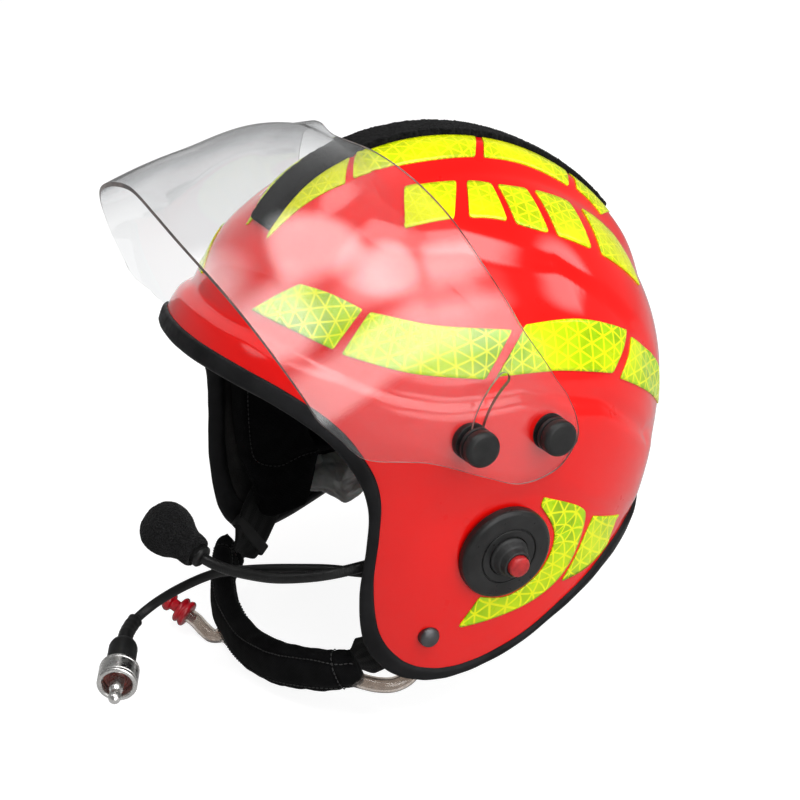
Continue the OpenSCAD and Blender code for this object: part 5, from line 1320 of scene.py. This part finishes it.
SCREEN_L = 34.0
screen = catmull([(5.75, 0.9), (7.4, 0.2), (8.5, 1.6), (8.8, 4.5), (8.9, 7.4), (10.2, 10.6), (12.4, 14.6),
                  (13.7, 18.8), (14.0, 22.8), (13.3, 26.8), (11.2, 30.4), (7.6, 33.0), (3.6, 33.9),
                  (0.02, SCREEN_L)], 90)
bore = [(0, SCREEN_L * 0.5), (5.75, SCREEN_L * 0.5), (5.75, SCREEN_L * 0.25)]
v, f = lathe([*bore, *screen[:-1], (0, SCREEN_L)], MIC - MIC_AXIS * SCREEN_L / 2, MIC_AXIS, 120)
pits = np.array([noise.noise(Vector(q) * 0.55) * 0.22 + noise.noise(Vector(q) * 0.16) * 0.3 for q in v])
outside = np.linalg.norm(np.cross(v - MIC, MIC_AXIS), axis=1) > 6
add("mic_windscreen", v + unit(v - MIC) * (pits * outside)[:, None], f, FOAM, "foam_screen", "mic_boom")
turned("cable_gland", [(2.9, -1.6), (4.6, -1.6), (4.6, 0.6), (4.1, 0.9), (4.1, 1.5), (4.5, 1.8), (4.5, 2.6),
                       (3.9, 2.9), (3.9, 3.5), (4.3, 3.8), (4.3, 4.6), (3.7, 4.9), (3.6, 5.6), (3.3, 7.0), (2.9, 7.2)],
       np.array(CABLE[0]) + [0, 3.4, 0], (0, -1, 0), BOOM, "black_rubber", 48, 0.25, True, 55)

# ---------------------------------------------------------------- stage
FLOOR_Z = -0.2445


def seen_rays(tree, glossy_share):
    """1 for the rays that show the white background: camera, transmission and some glossy."""
    def calc(op, a, b):
        return shader(tree, "Math", {0: a, 1: b}, operation=op).outputs[0]

    lp = shader(tree, "LightPath").outputs
    out = calc("MAXIMUM", lp["Is Camera Ray"], calc("MULTIPLY", lp["Is Glossy Ray"], glossy_share))
    # light that a matt surface gathers through the visor stays plain room light
    through = calc("SUBTRACT", lp["Is Transmission Ray"], calc("MINIMUM", lp["Diffuse Depth"], 1.0))
    return calc("MAXIMUM", out, through)


bpy.ops.mesh.primitive_plane_add(size=8, location=(0, 0, FLOOR_Z))
floor = bpy.context.object
floor.name = "floor"
floor_mat = bpy.data.materials.new("stage_white")
floor_mat.use_nodes = True
ft = floor_mat.node_tree
ft.nodes.clear()
pale, soft = (shader(ft, "BsdfDiffuse", {0: (c, c, c, 1)}).outputs[0] for c in (0.38, 0.3))
glow = shader(ft, "Emission", {1: 0.9}).outputs[0]
both = shader(ft, "AddShader", {0: soft, 1: glow}).outputs[0]
pick = shader(ft, "MixShader", {0: seen_rays(ft, 0.2), 1: pale, 2: both}).outputs[0]
shader(ft, "OutputMaterial", {0: pick})
floor.data.materials.append(floor_mat)

studio = bpy.data.worlds.new("studio")
SCENE.world = studio
studio.use_nodes = True
wt = studio.node_tree
wt.nodes.clear()
dim, white = (shader(wt, "Background", {0: (1, 1, 1, 1), 1: power}).outputs[0] for power in (0.18, 1.0))
# reflections see some white round the horizon, and none overhead, where the soft boxes hang
up = shader(wt, "SeparateXYZ", {0: shader(wt, "TexCoord").outputs["Generated"]}).outputs[2]
fall = shader(wt, "MapRange", {"Value": up, "From Min": 0.12, "From Max": 0.5, "To Min": 0.12, "To Max": 0.0},
              interpolation_type="SMOOTHSTEP").outputs[0]
pick = shader(wt, "MixShader", {0: seen_rays(wt, fall), 1: dim, 2: white}).outputs[0]
shader(wt, "OutputWorld", {0: pick})

LAMP_AIM = Vector((0, 0, -0.1))


def soft_box(name, az, el, dist, wide, tall, power):
    """A soft box whose light fades towards its edges."""
    d = bpy.data.lights.new(name, "AREA")
    d.shape = "RECTANGLE"
    d.size, d.size_y = wide, tall
    d.energy = power
    d.use_nodes = True
    t = d.node_tree
    place = shader(t, "NewGeometry").outputs["Parametric"]
    off = shader(t, "VectorMath", {0: place, 1: (0.5, 0.5, 0)}, operation="DISTANCE").outputs["Value"]
    lamp = next(n for n in t.nodes if n.type == "EMISSION")
    t.links.new(ramp(t, off, [(0.2, 1.7), (0.5, 0.0)], "EASE"), lamp.inputs[0])
    o = bpy.data.objects.new(name, d)
    SCENE.collection.objects.link(o)
    o.location = LAMP_AIM + dist * Vector(facing(az, el))
    o.rotation_euler = (LAMP_AIM - o.location).to_track_quat("-Z", "Y").to_euler()


soft_box("key_top", 38, 70, 1.3, 1.15, 0.85, 11)
soft_box("side_high", 108, 52, 2.2, 2.2, 1.6, 40)
soft_box("side_fill", 98, 16, 2.6, 3.6, 2.0, 56)
soft_box("front_box", -25, 42, 1.6, 0.6, 0.6, 1.2)
soft_box("rear_box", 165, 32, 1.9, 1.0, 0.9, 6)

SCENE.view_settings.view_transform = "Standard"
